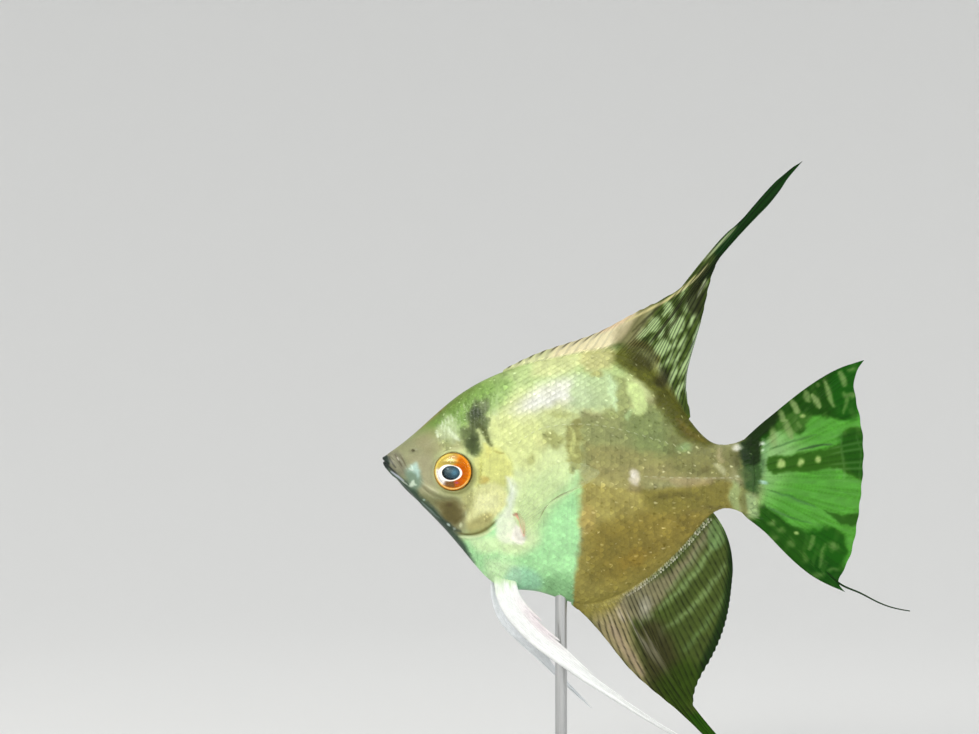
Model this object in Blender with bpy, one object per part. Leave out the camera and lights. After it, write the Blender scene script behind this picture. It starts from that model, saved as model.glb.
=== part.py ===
"""Freshwater angelfish: a still, life-size display model on a plain stand.

All sizes below are in millimetres. The fish is laid out in its own frame: x runs from the tip of the
snout towards the tail, z is up from the tip of the snout, and y runs from its left side (negative) to
its right side. place() carries that frame into the row frame, whose origin is the middle of the
underside of the stand's base.
"""

import bpy
import bmesh
import numpy as np

MM = 0.001
GAP = 0.3  # clearance between neighbouring solids

# Stand
BASE_SIZE = (92.0, 62.0, 7.0)
BASE_CORNER = 12.0
BASE_BEVEL = 1.2
ROD_X = 44.5  # where the rod enters the belly, along the fish
ROD_RADIUS = 1.5
ROD_ENTRY = 4.5  # depth of the rod's end inside the belly
COLLAR_RADIUS = 4.0
COLLAR_HEIGHT = 3.5
SNOUT_HEIGHT = 89.5  # of the tip of the snout above the floor

# Body: outline, half width and widest level at distances from the tip of the snout
BODY_LENGTH = 93.6
BACK_LINE = [(0, 0.8), (6, 5.0), (17.5, 14.9), (28, 21.3), (45, 26.2), (55, 27.3), (63, 25.2),
             (70, 19.0), (76.3, 10.7), (82, 4.6), (87, 3.8), (91, 4.4), (93.6, 5.2)]
BELLY_LINE = [(0, -1.0), (6, -7.9), (11, -12.7), (16, -18.0), (21.5, -24.6), (27, -30.5), (38, -33.0), (50, -36.3),
              (56, -35.3), (62, -32.4), (69, -27.4), (77, -19.4), (82.5, -14.0), (87, -12.4), (91, -13.7), (93.6, -14.8)]
HALF_WIDTH = [(0, 1.3), (3, 2.6), (8, 4.3), (13, 5.6), (18, 6.5), (25, 7.5), (33, 8.2), (42, 8.0),
              (52, 7.0), (62, 5.6), (72, 4.2), (80, 3.2), (86, 2.6), (93.6, 1.9)]
WIDEST_LEVEL = [(0, -0.1), (8, -1.8), (18, -3.4), (32, -4.0), (50, -4.0), (70, -3.8), (93.6, -4.6)]
EDGE_HALF = [(0, 0.3), (26, 0.4), (34, 0.7), (75, 0.8), (81, 0.4), (93.6, 0.4)]
UPPER_FULLNESS = [(0, 0.5), (20, 0.58), (40, 0.72), (75, 0.8), (82, 0.55), (93.6, 0.5)]
LOWER_FULLNESS = [(0, 0.5), (20, 0.66), (40, 0.74), (75, 0.85), (82, 0.55), (93.6, 0.5)]
BODY_STATIONS = 40
RING_POINTS = 15  # per flank, back to belly

# Head
EYE_CENTRE = (17.7, -2.65)
EYE_RADIUS = 5.5  # of the whole globe, most of which shows
EYE_HALF_DEPTH = 2.7
EYE_SINK = 1.4  # of the globe's centre under the head's side
EYE_TURN = 0.14  # radians that each eye looks forwards
GILL_BACK = [(25.2, 4.6), (30.2, 2.6), (32.3, -2.6), (31.8, -8.0), (29.4, -13.4), (25.6, -17.0), (21.6, -18.2),
             (17.6, -17.6)]
GILL_FRONT = [(20.3, -14.4), (23.0, -9.6), (24.2, -3.2)]
GILL_DEPTH = 2.2  # how deep the cover's plate reaches under the side
NECK_TOP = [(26.4, 30.0), (25.4, 12.0)]
THROAT = [(14.0, -18.4), (10.0, -20.0), (4.0, -26.0)]
JAW = [(-2.0, -0.2), (0.6, -0.35), (4.4, -4.0), (7.9, -8.2), (7.0, -13.0), (-2.0, -8.0)]
STALK_CUT = 81.4  # where the trunk ends and the tail's stalk begins

# Fins: the outline that the rays reach, and the angles at which rays leave the base and arrive
FIN_EDGE_HALF = 0.27
DORSAL_BASE = (29.0, 76.4)
DORSAL_FRONT = [(30.5, 22.9), (39, 26.9), (54.2, 32.2), (63.2, 37.3), (69.2, 40.7), (74.8, 44.7), (80.2, 50.2),
                (85.2, 56.5), (93.2, 65.0), (99.7, 70.8), (105.3, 75.2)]
DORSAL_REAR = [(105.3, 75.2), (101.2, 69.9), (93.5, 59.8), (84.9, 51.7), (81.0, 44.2), (79.4, 34.5),
               (77.3, 26.8), (75.8, 18.8), (76.9, 11.4)]
DORSAL_LEAVE = [(0, 28), (0.3, 33), (0.6, 44), (0.72, 50), (0.85, 62), (1, 80)]
DORSAL_ARRIVE = [(0, 28), (0.4, 32), (0.6, 40), (0.7, 44), (0.78, 50), (0.85, 70), (1, 85)]
DORSAL_SPREAD = [(0, 0), (0.6, 0.26), (0.74, 0.56), (0.82, 0.75), (1, 1)]
ANAL_BASE = (51.2, 82.3)
ANAL_FRONT = [(51.6, -37.4), (55.4, -44.0), (61, -51.4), (68.1, -58.2), (75.2, -64.1), (80.5, -69.2), (86, -73.8),
              (91.5, -77.3)]
ANAL_REAR = [(91.5, -77.3), (86.6, -72.6), (81.4, -67.8), (78.0, -63.2), (77.9, -57.8), (81.5, -50.3),
             (85.7, -39.8), (87.3, -28.5), (86.6, -18.6), (83.6, -14.6)]
ANAL_LEAVE = [(0, -58), (0.3, -74), (0.6, -66), (1, -52)]
ANAL_ARRIVE = [(0, -58), (0.3, -46), (0.5, -44), (0.62, -60), (0.8, -66), (1, -56)]
ANAL_SPREAD = [(0, 0), (0.24, 0.24), (0.4, 0.42), (0.5, 0.54), (1, 1)]
TAIL_BASE = [(89.9, 4.2), (92.3, 0.0), (92.9, -4.6), (92.3, -9.2), (90.0, -13.5)]
TAIL_TOP = [(91.8, 5.9), (99.3, 12.3), (108.2, 19.8), (115.0, 23.4), (120.2, 25.0)]
TAIL_REAR = [(120.2, 25.0), (117.9, 21.0), (118.3, 14.2), (119.7, 6.5), (119.7, -4.5), (118.2, -18.0),
             (115.4, -27.5), (114.2, -31.0), (115.8, -33.2)]
TAIL_FOOT = [(115.8, -33.2), (106.4, -28.4), (99.3, -21.6), (93.2, -16.4), (91.6, -15.2)]
TAIL_LEAVE = [(0, 36), (0.5, 0), (1, -38)]
TAIL_ARRIVE = [(0, 34), (0.12, 30), (0.5, -1), (0.88, -36), (1, -40)]
TAIL_SPREAD = [(0, 0), (0.1, 0.24), (0.9, 0.78), (1, 1)]
TAIL_ROOT_HALF = 1.7
TAIL_STREAMER = [(110.0, -27.2), (114.6, -31.2), (118.9, -33.1), (123.4, -35.4), (127.8, -37.0), (131.6, -37.7)]
PECTORAL_ROOT = [(33.6, -12.6), (34.9, -17.8)]
PECTORAL_EDGE = [(34.6, -10.6), (37.6, -4.6), (43.0, -0.6), (49.0, -0.2), (53.6, -2.4), (47.4, -6.6), (41.4, -10.2),
                 (38.8, -14.6), (35.9, -18.3)]
PECTORAL_OPEN = 0.2  # radians that the fin stands away from the flank
PELVIC_LEFT = [(31.2, -29.6), (34.6, -37.4), (39.4, -43.2), (49.1, -50.9), (57.4, -57.8), (65.7, -63.2),
               (74.0, -68.0), (80.5, -71.4)]
PELVIC_LEFT_WIDTH = [(0, 7.6), (0.14, 6.6), (0.27, 4.4), (0.48, 2.6), (0.8, 1.4), (1, 0.7)]
PELVIC_RIGHT = [(30.0, -29.8), (30.9, -37.0), (34.6, -44.6), (42.0, -52.0), (47.2, -57.4), (52.6, -63.0)]
PELVIC_RIGHT_WIDTH = [(0, 6.0), (0.2, 5.2), (0.42, 3.0), (0.66, 1.7), (1, 0.7)]
PELVIC_ROOT_Y = 2.7
PELVIC_TIP_Y = 8.0


# ---------------------------------------------------------------- curves

def spline(knots):
    """A natural cubic spline through the knots (x, y), as a function of x."""
    x, y = np.array(knots, float).T
    step = np.diff(x)
    system = np.eye(len(x))
    change = np.zeros(len(x))
    for i in range(1, len(x) - 1):
        system[i, i - 1:i + 2] = step[i - 1], 2 * (step[i - 1] + step[i]), step[i]
        change[i] = 6 * ((y[i + 1] - y[i]) / step[i] - (y[i] - y[i - 1]) / step[i - 1])
    bend = np.linalg.solve(system, change)

    def value(at):
        at = np.clip(np.asarray(at, float), x[0], x[-1])
        i = np.clip(np.searchsorted(x, at) - 1, 0, len(step) - 1)
        left, right = at - x[i], x[i + 1] - at
        return ((bend[i] * right ** 3 + bend[i + 1] * left ** 3) / (6 * step[i])
                + (y[i] / step[i] - bend[i] * step[i] / 6) * right
                + (y[i + 1] / step[i] - bend[i + 1] * step[i] / 6) * left)

    return value


def eased(knots):
    """Straight pieces through the knots, as a function of x."""
    x, y = np.array(knots, float).T
    return lambda at: np.interp(at, x, y)


def path_through(points):
    """A smooth path through points, as a function of the share 0..1 of its length."""
    points = np.array(points, float)
    chord = np.concatenate([[0], np.cumsum(np.linalg.norm(np.diff(points, axis=0), axis=1))])
    axes = [spline(np.column_stack([chord, points[:, k]])) for k in range(points.shape[1])]
    fine = np.linspace(0, chord[-1], 400)
    traced = np.column_stack([axis(fine) for axis in axes])
    run = np.concatenate([[0], np.cumsum(np.linalg.norm(np.diff(traced, axis=0), axis=1))])

    def at(share):
        where = np.interp(np.asarray(share, float) * run[-1], run, fine)
        return np.stack([axis(where) for axis in axes], axis=-1)

    at.length = run[-1]
    return at


def chained(*paths):
    """Several paths end to end, with corners between them, as a function of the share of their length."""
    lengths = np.array([path.length for path in paths])
    ends = np.concatenate([[0], np.cumsum(lengths)]) / lengths.sum()

    def at(share):
        share = np.clip(np.asarray(share, float), 0, 1)
        which = np.clip(np.searchsorted(ends, share, side="right") - 1, 0, len(paths) - 1)
        inside = (share - ends[which]) / (ends[which + 1] - ends[which])
        found = np.array([path(inside) for path in paths])
        return found[which, np.arange(len(share))]

    return at


back_line, belly_line = spline(BACK_LINE), spline(BELLY_LINE)
half_width, widest_level = spline(HALF_WIDTH), spline(WIDEST_LEVEL)
edge_half = eased(EDGE_HALF)
upper_fullness, lower_fullness = eased(UPPER_FULLNESS), eased(LOWER_FULLNESS)


def flank(x, z):
    """The body's half width at x along the fish and height z: a lens that thins to its back and belly."""
    x, z = np.asarray(x, float), np.asarray(z, float)
    level, edge = widest_level(x), edge_half(x)
    upper = z >= level
    reach = np.where(upper, back_line(x) - level, level - belly_line(x))
    share = np.clip(np.abs(z - level) / reach, 0, 1)
    fullness = np.where(upper, upper_fullness(x), lower_fullness(x))
    return edge + (half_width(x) - edge) * (1 - share ** 2) ** fullness


# ---------------------------------------------------------------- making objects

def material(name, colour, roughness=0.5, metallic=0.0):
    made = bpy.data.materials.new(name)
    made.use_nodes = True
    shader = made.node_tree.nodes["Principled BSDF"]
    shader.inputs["Base Color"].default_value = (*colour, 1)
    shader.inputs["Roughness"].default_value = roughness
    shader.inputs["Metallic"].default_value = metallic
    return made


def place(points):
    """Points of the fish's own frame in the row frame, in metres."""
    moved = np.asarray(points, float) + np.array([-ROD_X, 0, SNOUT_HEIGHT])
    return moved * MM


def mesh_object(name, points, faces, surface=None, hidden=False):
    """An object whose mesh holds points of the fish's frame."""
    mesh = bpy.data.meshes.new(name)
    mesh.from_pydata(place(points).tolist(), [], faces)
    if surface:
        mesh.materials.append(surface)
    made = bpy.data.objects.new(name, mesh)
    bpy.context.scene.collection.objects.link(made)
    tidy = bmesh.new()
    tidy.from_mesh(mesh)
    bmesh.ops.recalc_face_normals(tidy, faces=tidy.faces)
    tidy.to_mesh(mesh)
    tidy.free()
    mesh.shade_smooth()
    mesh.set_sharp_from_angle(angle=0.6)
    if hidden:
        made.hide_render = True
        made.display_type = "WIRE"
    return made


def boolean(target, operation, other):
    """A live Boolean of the target with a hidden helper."""
    step = target.modifiers.new(f"{operation} {other.name}", "BOOLEAN")
    step.operation = operation
    step.object = other


def grid_faces(rows, columns, first=0, closed=False):
    """Quads of a grid of points, stored row by row; closed joins the last column to the first."""
    faces = []
    for i in range(rows - 1):
        for j in range(columns if closed else columns - 1):
            k = (j + 1) % columns
            faces.append((first + i * columns + j, first + i * columns + k,
                          first + (i + 1) * columns + k, first + (i + 1) * columns + j))
    return faces


def prism(name, outline, low, high):
    """A hidden cutter: a closed x, z outline drawn out from y = low to y = high."""
    outline = np.asarray(outline, float)
    count = len(outline)
    points = [(x, y, z) for y in (low, high) for x, z in outline]
    faces = [tuple(range(count)), tuple(range(count, 2 * count))]
    faces += [(i, (i + 1) % count, count + (i + 1) % count, count + i) for i in range(count)]
    return mesh_object(name, points, faces, hidden=True)


# ---------------------------------------------------------------- body

def body_points():
    """Rings of points round the body, from the snout to the root of the tail fin."""
    share = np.linspace(0, 1, BODY_STATIONS)
    stations = BODY_LENGTH * (0.35 * share + 0.65 * share ** 1.6)
    rings = []
    for x in stations:
        turn = np.linspace(0, np.pi, RING_POINTS)
        top, bottom, level = back_line(x), belly_line(x), widest_level(x)
        z = np.where(turn < np.pi / 2, level + (top - level) * np.cos(turn), level + (level - bottom) * np.cos(turn))
        y = flank(x, z)
        right = np.column_stack([np.full(RING_POINTS, x), y, z])
        rings.append(np.concatenate([right, right[::-1] * (1, -1, 1)]))
    return np.concatenate(rings)


def body_copy(name, surface):
    """A whole body, which a region then trims to the piece of that name."""
    count = 2 * RING_POINTS
    faces = grid_faces(BODY_STATIONS, count, closed=True)
    last = (BODY_STATIONS - 1) * count
    faces += [tuple(range(count)), tuple(range(last, last + count))]
    return mesh_object(name, body_points(), faces, surface)


def moved_out(outline, distance):
    """A closed outline moved outwards by a distance, along the mean of its neighbours' normals."""
    outline = np.asarray(outline, float)
    along = np.roll(outline, -1, axis=0) - np.roll(outline, 1, axis=0)
    along /= np.linalg.norm(along, axis=1)[:, None]
    out = np.column_stack([along[:, 1], -along[:, 0]])
    area = np.sum(outline[:, 0] * np.roll(outline[:, 1], -1) - np.roll(outline[:, 0], -1) * outline[:, 1])
    return outline + np.sign(area) * distance * out


def gill_rear():
    """The gill cover's free rear edge, from its top corner to its lower one."""
    return path_through(GILL_BACK)(np.linspace(0, 1, 15))


def gill_outline():
    """The gill cover's outline: its free rear edge and the edge of the cheek in front of it."""
    front = path_through([GILL_BACK[-1], *GILL_FRONT, GILL_BACK[0]])(np.linspace(0, 1, 10))[1:-1]
    return np.concatenate([gill_rear(), front])


def neck_line(shift):
    """The line between head and trunk, from above the nape round the gill covers to below the throat."""
    points = np.concatenate([NECK_TOP, gill_rear(), THROAT])
    along = np.gradient(points, axis=0)
    along /= np.linalg.norm(along, axis=1)[:, None]
    return points + shift * np.column_stack([-along[:, 1], along[:, 0]])


def eye_globe(name, side, grow=0.0, surface=None, hidden=False):
    """An oblate globe, sunk in the side of the head and turned a little forwards."""
    x, z = EYE_CENTRE
    y = side * (flank(x, z) - EYE_SINK)
    turn, lift = np.meshgrid(np.linspace(0, 2 * np.pi, 25)[:-1], np.linspace(-np.pi / 2, np.pi / 2, 11)[1:-1])
    radius, depth = EYE_RADIUS + grow, EYE_HALF_DEPTH + grow
    local = np.stack([radius * np.cos(lift) * np.cos(turn), depth * np.sin(lift), radius * np.cos(lift) * np.sin(turn)],
                     axis=-1).reshape(-1, 3)
    local = np.concatenate([local, [(0, -depth, 0), (0, depth, 0)]])
    spin = side * EYE_TURN
    turned = local @ np.array([[np.cos(spin), np.sin(spin), 0], [-np.sin(spin), np.cos(spin), 0], [0, 0, 1]])
    faces = grid_faces(9, 24, closed=True)
    faces += [(i, (i + 1) % 24, 216) for i in range(24)]
    faces += [(192 + i, 192 + (i + 1) % 24, 217) for i in range(24)]
    return mesh_object(name, turned + (x, y, z), faces, surface, hidden)


def make_body(skin, jaw_skin, cover_skin, eye_surface):
    """Head, jaw, gill covers, trunk, tail stalk and eyes, parted by thin gaps."""
    far = 40.0
    sockets = [eye_globe(f"socket_{word}", side, grow=GAP, hidden=True) for word, side in (("left", -1), ("right", 1))]
    outline = gill_outline()
    inner = half_width(25.0) - GILL_DEPTH
    spaces = {side: prism(f"gill_space_{side}", moved_out(outline, GAP / 2), *sorted((side * (inner - GAP), side * far)))
              for side in (-1, 1)}
    covers = {side: prism(f"gill_region_{side}", moved_out(outline, -GAP / 2), *sorted((side * inner, side * far)))
              for side in (-1, 1)}
    jaw_region = prism("jaw_region", moved_out(JAW, -GAP / 2), -far, far)
    jaw_space = prism("jaw_space", moved_out(JAW, GAP / 2), -far, far)
    front = neck_line(-GAP / 2)
    rear = neck_line(GAP / 2)
    head_region = prism("head_region", [(-9, 30), *front, (-9, -26)], -far, far)
    trunk_region = prism("trunk_region", [*rear, (4, -60), (STALK_CUT - GAP / 2, -60), (STALK_CUT - GAP / 2, 40),
                                          (27, 40)], -far, far)
    stalk_end = path_through(TAIL_BASE)(np.linspace(0, 1, 9)) - (GAP, 0)
    stalk_region = prism("stalk_region", [(STALK_CUT + GAP / 2, 12), (88, 12), *stalk_end, (88, -22),
                                          (STALK_CUT + GAP / 2, -22)], -far, far)

    head = body_copy("head", skin)
    boolean(head, "INTERSECT", head_region)
    boolean(head, "DIFFERENCE", jaw_space)
    for cutter in (*spaces.values(), *sockets):
        boolean(head, "DIFFERENCE", cutter)
    jaw = body_copy("lower_jaw", jaw_skin)
    boolean(jaw, "INTERSECT", jaw_region)
    for word, side in (("left", -1), ("right", 1)):
        cover = body_copy(f"gill_cover_{word}", cover_skin)
        boolean(cover, "INTERSECT", covers[side])
        eye_globe(f"eye_{word}", side, surface=eye_surface)
    trunk = body_copy("trunk", skin)
    boolean(trunk, "INTERSECT", trunk_region)
    boolean(trunk, "DIFFERENCE", rod_cutter())
    stalk = body_copy("tail_stalk", skin)
    boolean(stalk, "INTERSECT", stalk_region)


# ---------------------------------------------------------------- fins

def sway(x, z, size, length):
    """A gentle sideways wave of a fin's sheet."""
    return size * np.sin((x + 0.6 * z) * 2 * np.pi / length)


def ray_sheet(base, edge, leave, arrive, spread, columns, rows, bow=0.36):
    """A fin's middle sheet in x and z: each column is one ray, a Bezier curve from the base to the edge.

    leave and arrive give the angles of its ends, in degrees above the x axis, and spread says how far
    round the edge each ray ends.
    """
    share = np.linspace(0, 1, columns)
    start, end = base(share), edge(spread(share))
    span = bow * np.linalg.norm(end - start, axis=1)[:, None]
    first, last = np.radians(leave(share)), np.radians(arrive(share))
    one = start + span * np.column_stack([np.cos(first), np.sin(first)])
    two = end - span * np.column_stack([np.cos(last), np.sin(last)])
    t = np.linspace(0, 1, rows)[None, :, None]
    start, one, two, end = (p[:, None, :] for p in (start, one, two, end))
    return (1 - t) ** 3 * start + 3 * (1 - t) ** 2 * t * one + 3 * (1 - t) * t ** 2 * two + t ** 3 * end


def plate(name, middle, half, surface, across=(0, 1, 0)):
    """A closed sheet round a grid of middle points, half as thick each way along the direction across."""
    columns, rows = middle.shape[:2]
    offset = half[..., None] * np.array(across, float)
    points = np.concatenate([(middle - offset).reshape(-1, 3), (middle + offset).reshape(-1, 3)])
    count = columns * rows
    faces = grid_faces(columns, rows) + grid_faces(columns, rows, first=count)
    rim = [i * rows for i in range(columns)]
    rim += [(columns - 1) * rows + j for j in range(1, rows)]
    rim += [i * rows + rows - 1 for i in range(columns - 2, -1, -1)]
    rim += list(range(rows - 2, 0, -1))
    faces += [(a, b, count + b, count + a) for a, b in zip(rim, rim[1:] + rim[:1])]
    return mesh_object(name, points, faces, surface)


def median_fin(name, sheet, root_half, surface, wave, length):
    """A fin in the fish's middle plane, thick at its root and thin at its edge."""
    t = np.linspace(0, 1, sheet.shape[1])[None, :]
    half = FIN_EDGE_HALF + (np.asarray(root_half)[:, None] - FIN_EDGE_HALF) * (1 - t) ** 3
    x, z = sheet[..., 0], sheet[..., 1]
    y = sway(x, z, wave, length) * t ** 1.5
    return plate(name, np.stack([x, y, z], axis=-1), half, surface)


def make_dorsal_fin(surface):
    """Spines low over the back, then soft rays drawn out to a long streamer."""
    def base(share):
        x = DORSAL_BASE[0] + (DORSAL_BASE[1] - DORSAL_BASE[0]) * share
        slope = (back_line(x + 0.1) - back_line(x - 0.1)) / 0.2
        off = (GAP + 0.1) / np.sqrt(1 + slope ** 2)
        return np.column_stack([x - slope * off, back_line(x) + off])

    edge = chained(path_through(DORSAL_FRONT), path_through(DORSAL_REAR))
    sheet = ray_sheet(base, edge, spline(DORSAL_LEAVE), spline(DORSAL_ARRIVE), eased(DORSAL_SPREAD), 36, 6)
    x = np.linspace(*DORSAL_BASE, 36)
    return median_fin("dorsal_fin", sheet, edge_half(x), surface, 1.2, 90)


def make_anal_fin(surface):
    """Soft rays that sweep down and back to a drawn-out tip."""
    def base(share):
        x = ANAL_BASE[0] + (ANAL_BASE[1] - ANAL_BASE[0]) * share
        slope = (belly_line(x + 0.1) - belly_line(x - 0.1)) / 0.2
        off = (GAP + 0.1) / np.sqrt(1 + slope ** 2)
        return np.column_stack([x + slope * off, belly_line(x) - off])

    edge = chained(path_through(ANAL_FRONT), path_through(ANAL_REAR))
    sheet = ray_sheet(base, edge, spline(ANAL_LEAVE), spline(ANAL_ARRIVE), eased(ANAL_SPREAD), 34, 6)
    x = np.linspace(*ANAL_BASE, 34)
    return median_fin("anal_fin", sheet, edge_half(x), surface, 1.5, 80)


def make_tail_fin(surface):
    """A fan with pointed corners, the lower one with a thread-like streamer."""
    base = path_through(TAIL_BASE)
    edge = chained(path_through(TAIL_TOP), path_through(TAIL_REAR), path_through(TAIL_FOOT))
    sheet = ray_sheet(base, edge, spline(TAIL_LEAVE), spline(TAIL_ARRIVE), eased(TAIL_SPREAD), 28, 6)
    root = FIN_EDGE_HALF + (TAIL_ROOT_HALF - FIN_EDGE_HALF) * np.sin(np.linspace(0.12, np.pi - 0.12, 28))
    fin = median_fin("tail_fin", sheet, root, surface, 1.6, 70)
    route = path_through(TAIL_STREAMER)(np.linspace(0, 1, 12))
    centre = np.column_stack([route[:, 0], sway(route[:, 0], route[:, 1], 1.6, 70), route[:, 1]])
    radius = 0.32 - 0.06 * np.linspace(0, 1, 12)
    turn = np.linspace(0, 2 * np.pi, 7)[:-1]
    ring = np.column_stack([np.zeros(6), np.cos(turn), np.sin(turn)])
    points = np.concatenate([c + r * ring for c, r in zip(centre, radius)])
    faces = grid_faces(12, 6, closed=True) + [tuple(range(6)), tuple(range(66, 72))]
    streamer = mesh_object("streamer_helper", points, faces, hidden=True)
    boolean(fin, "UNION", streamer)
    return fin


def make_pectoral_fin(word, side, surface):
    """A fan at the side of the chest, standing a little away from the flank."""
    root = path_through(PECTORAL_ROOT)
    edge = path_through(PECTORAL_EDGE)
    share = np.linspace(0, 1, 14)[:, None, None]
    t = np.linspace(0, 1, 6)[None, :, None]
    sheet = root(share[:, 0, 0])[:, None] * (1 - t) + edge(share[:, 0, 0])[:, None] * t
    x, z = sheet[..., 0], sheet[..., 1]
    foot = flank(x[:, :1], z[:, :1]) + GAP + 0.45
    y = side * (foot + np.tan(PECTORAL_OPEN) * np.hypot(x - x[:, :1], z - z[:, :1]))
    half = FIN_EDGE_HALF + 0.13 * (1 - t[..., 0]) ** 2 + 0 * x
    return plate(f"pectoral_fin_{word}", np.stack([x, y, z], axis=-1), half, surface)


def make_pelvic_fin(word, side, route, width, surface):
    """A long feeler: a flat ribbon along a route, wide at its root and drawn out to a thread."""
    count, around = 20, 8
    share = np.linspace(0, 1, count)
    centre = path_through(route)(share)
    along = np.gradient(centre, axis=0)
    along /= np.linalg.norm(along, axis=1)[:, None]
    across = np.column_stack([-along[:, 1], along[:, 0]])
    wide = spline(width)(share) / 2
    thick = np.maximum(0.75 * (1 - share) ** 1.5, 0) + FIN_EDGE_HALF
    y = side * (PELVIC_ROOT_Y + (PELVIC_TIP_Y - PELVIC_ROOT_Y) * share ** 0.8)
    turn = np.linspace(0, 2 * np.pi, around + 1)[:-1]
    points = []
    for i in range(count):
        flat = centre[i] + np.outer(wide[i] * np.cos(turn), across[i])
        points.append(np.column_stack([flat[:, 0], y[i] + thick[i] * np.sin(turn), flat[:, 1]]))
    faces = grid_faces(count, around, closed=True)
    last = (count - 1) * around
    faces += [tuple(range(around)), tuple(range(last, last + around))]
    fin = mesh_object(f"pelvic_fin_{word}", np.concatenate(points), faces, surface)
    boolean(fin, "DIFFERENCE", bpy.data.objects["belly_space"])
    return fin


def belly_space():
    """A hidden copy of the body, a little larger, that trims the roots of the paired fins."""
    points = body_points()
    side = np.sign(points[:, 1])
    down = np.sign(points[:, 2] - widest_level(points[:, 0]))
    grown = points + GAP * np.column_stack([np.zeros(len(points)), side, down])
    count = 2 * RING_POINTS
    last = (BODY_STATIONS - 1) * count
    faces = grid_faces(BODY_STATIONS, count, closed=True) + [tuple(range(count)), tuple(range(last, last + count))]
    return mesh_object("belly_space", grown, faces, hidden=True)


# ---------------------------------------------------------------- stand

def column(name, radius, low, high, segments, surface=None, hidden=False):
    """An upright round bar on the rod's axis, between two heights of the fish's frame."""
    turn = np.linspace(0, 2 * np.pi, segments + 1)[:-1]
    ring = np.column_stack([ROD_X + radius * np.cos(turn), radius * np.sin(turn)])
    points = [(x, y, z) for z in (low, high) for x, y in ring]
    faces = [tuple(range(segments)), tuple(range(segments, 2 * segments))]
    faces += [(i, (i + 1) % segments, segments + (i + 1) % segments, segments + i) for i in range(segments)]
    return mesh_object(name, points, faces, surface, hidden)


def rod_top():
    """The height of the rod's end, in the fish's frame."""
    return float(belly_line(ROD_X)) + ROD_ENTRY


def rod_cutter():
    """The socket in the belly that takes the rod's end."""
    return column("rod_socket", ROD_RADIUS + GAP, -60, rod_top() + GAP, 24, hidden=True)


def make_stand(wood, steel):
    """A flat base with rounded corners, a rod up to the belly and a collar round its foot."""
    length, width, height = BASE_SIZE
    corners = []
    for cx, cy, start in ((1, 1, 0), (-1, 1, 90), (-1, -1, 180), (1, -1, 270)):
        for turn in np.radians(np.linspace(start, start + 90, 6)):
            corners.append((ROD_X + cx * (length / 2 - BASE_CORNER) + BASE_CORNER * np.cos(turn),
                            cy * (width / 2 - BASE_CORNER) + BASE_CORNER * np.sin(turn)))
    count = len(corners)
    floor, top = -SNOUT_HEIGHT, -SNOUT_HEIGHT + height
    points = [(x, y, z) for z in (floor, top) for x, y in corners]
    faces = [tuple(range(count)), tuple(range(count, 2 * count))]
    faces += [(i, (i + 1) % count, count + (i + 1) % count, count + i) for i in range(count)]
    base = mesh_object("stand_base", points, faces, wood)
    round_edge = base.modifiers.new("Rounded edges", "BEVEL")
    round_edge.width = BASE_BEVEL * MM
    round_edge.segments = 2
    round_edge.limit_method = "ANGLE"
    round_edge.angle_limit = 1.0
    column("stand_rod", ROD_RADIUS, top + GAP, rod_top(), 20, steel)
    collar = column("stand_collar", COLLAR_RADIUS, top + GAP, top + GAP + COLLAR_HEIGHT, 24, steel)
    bore = column("collar_bore", ROD_RADIUS + GAP, top - 5, top + 20, 24, hidden=True)
    boolean(collar, "DIFFERENCE", bore)


def main():
    for old in list(bpy.data.objects):
        bpy.data.objects.remove(old)
    skin = material("painted skin", (0.45, 0.47, 0.33), 0.4)
    jaw_skin = material("painted lips", (0.1, 0.1, 0.1), 0.35)
    cover_skin = material("painted gill cover", (0.55, 0.56, 0.36), 0.35)
    fin_dark = material("dark fin sheet", (0.09, 0.08, 0.06), 0.5)
    fin_clear = material("clear fin sheet", (0.5, 0.65, 0.5), 0.4)
    feeler = material("white feeler", (0.85, 0.88, 0.86), 0.4)
    eye_surface = material("eye", (0.75, 0.3, 0.05), 0.1)
    wood = material("black base", (0.02, 0.02, 0.02), 0.4)
    steel = material("steel rod", (0.6, 0.6, 0.6), 0.3, 1.0)
    make_body(skin, jaw_skin, cover_skin, eye_surface)
    make_dorsal_fin(fin_dark)
    make_anal_fin(fin_dark)
    make_tail_fin(fin_dark)
    belly_space()
    for word, side in (("left", -1), ("right", 1)):
        make_pectoral_fin(word, side, fin_clear)
    make_pelvic_fin("left", -1, PELVIC_LEFT, PELVIC_LEFT_WIDTH, feeler)
    make_pelvic_fin("right", 1, PELVIC_RIGHT, PELVIC_RIGHT_WIDTH, feeler)
    make_stand(wood, steel)


main()
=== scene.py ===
"""Life-size display model of a freshwater angelfish: skin, scales, fins, eyes, stand and studio.

Sizes are millimetres in the fish's own frame: x runs from the tip of the snout towards the tail, z is up
from the tip of the snout, and y runs from the fish's left side (negative) to its right side. FishFrame
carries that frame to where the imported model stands.
"""

import logging
from dataclasses import dataclass
from enum import Enum
from typing import Callable

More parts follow.
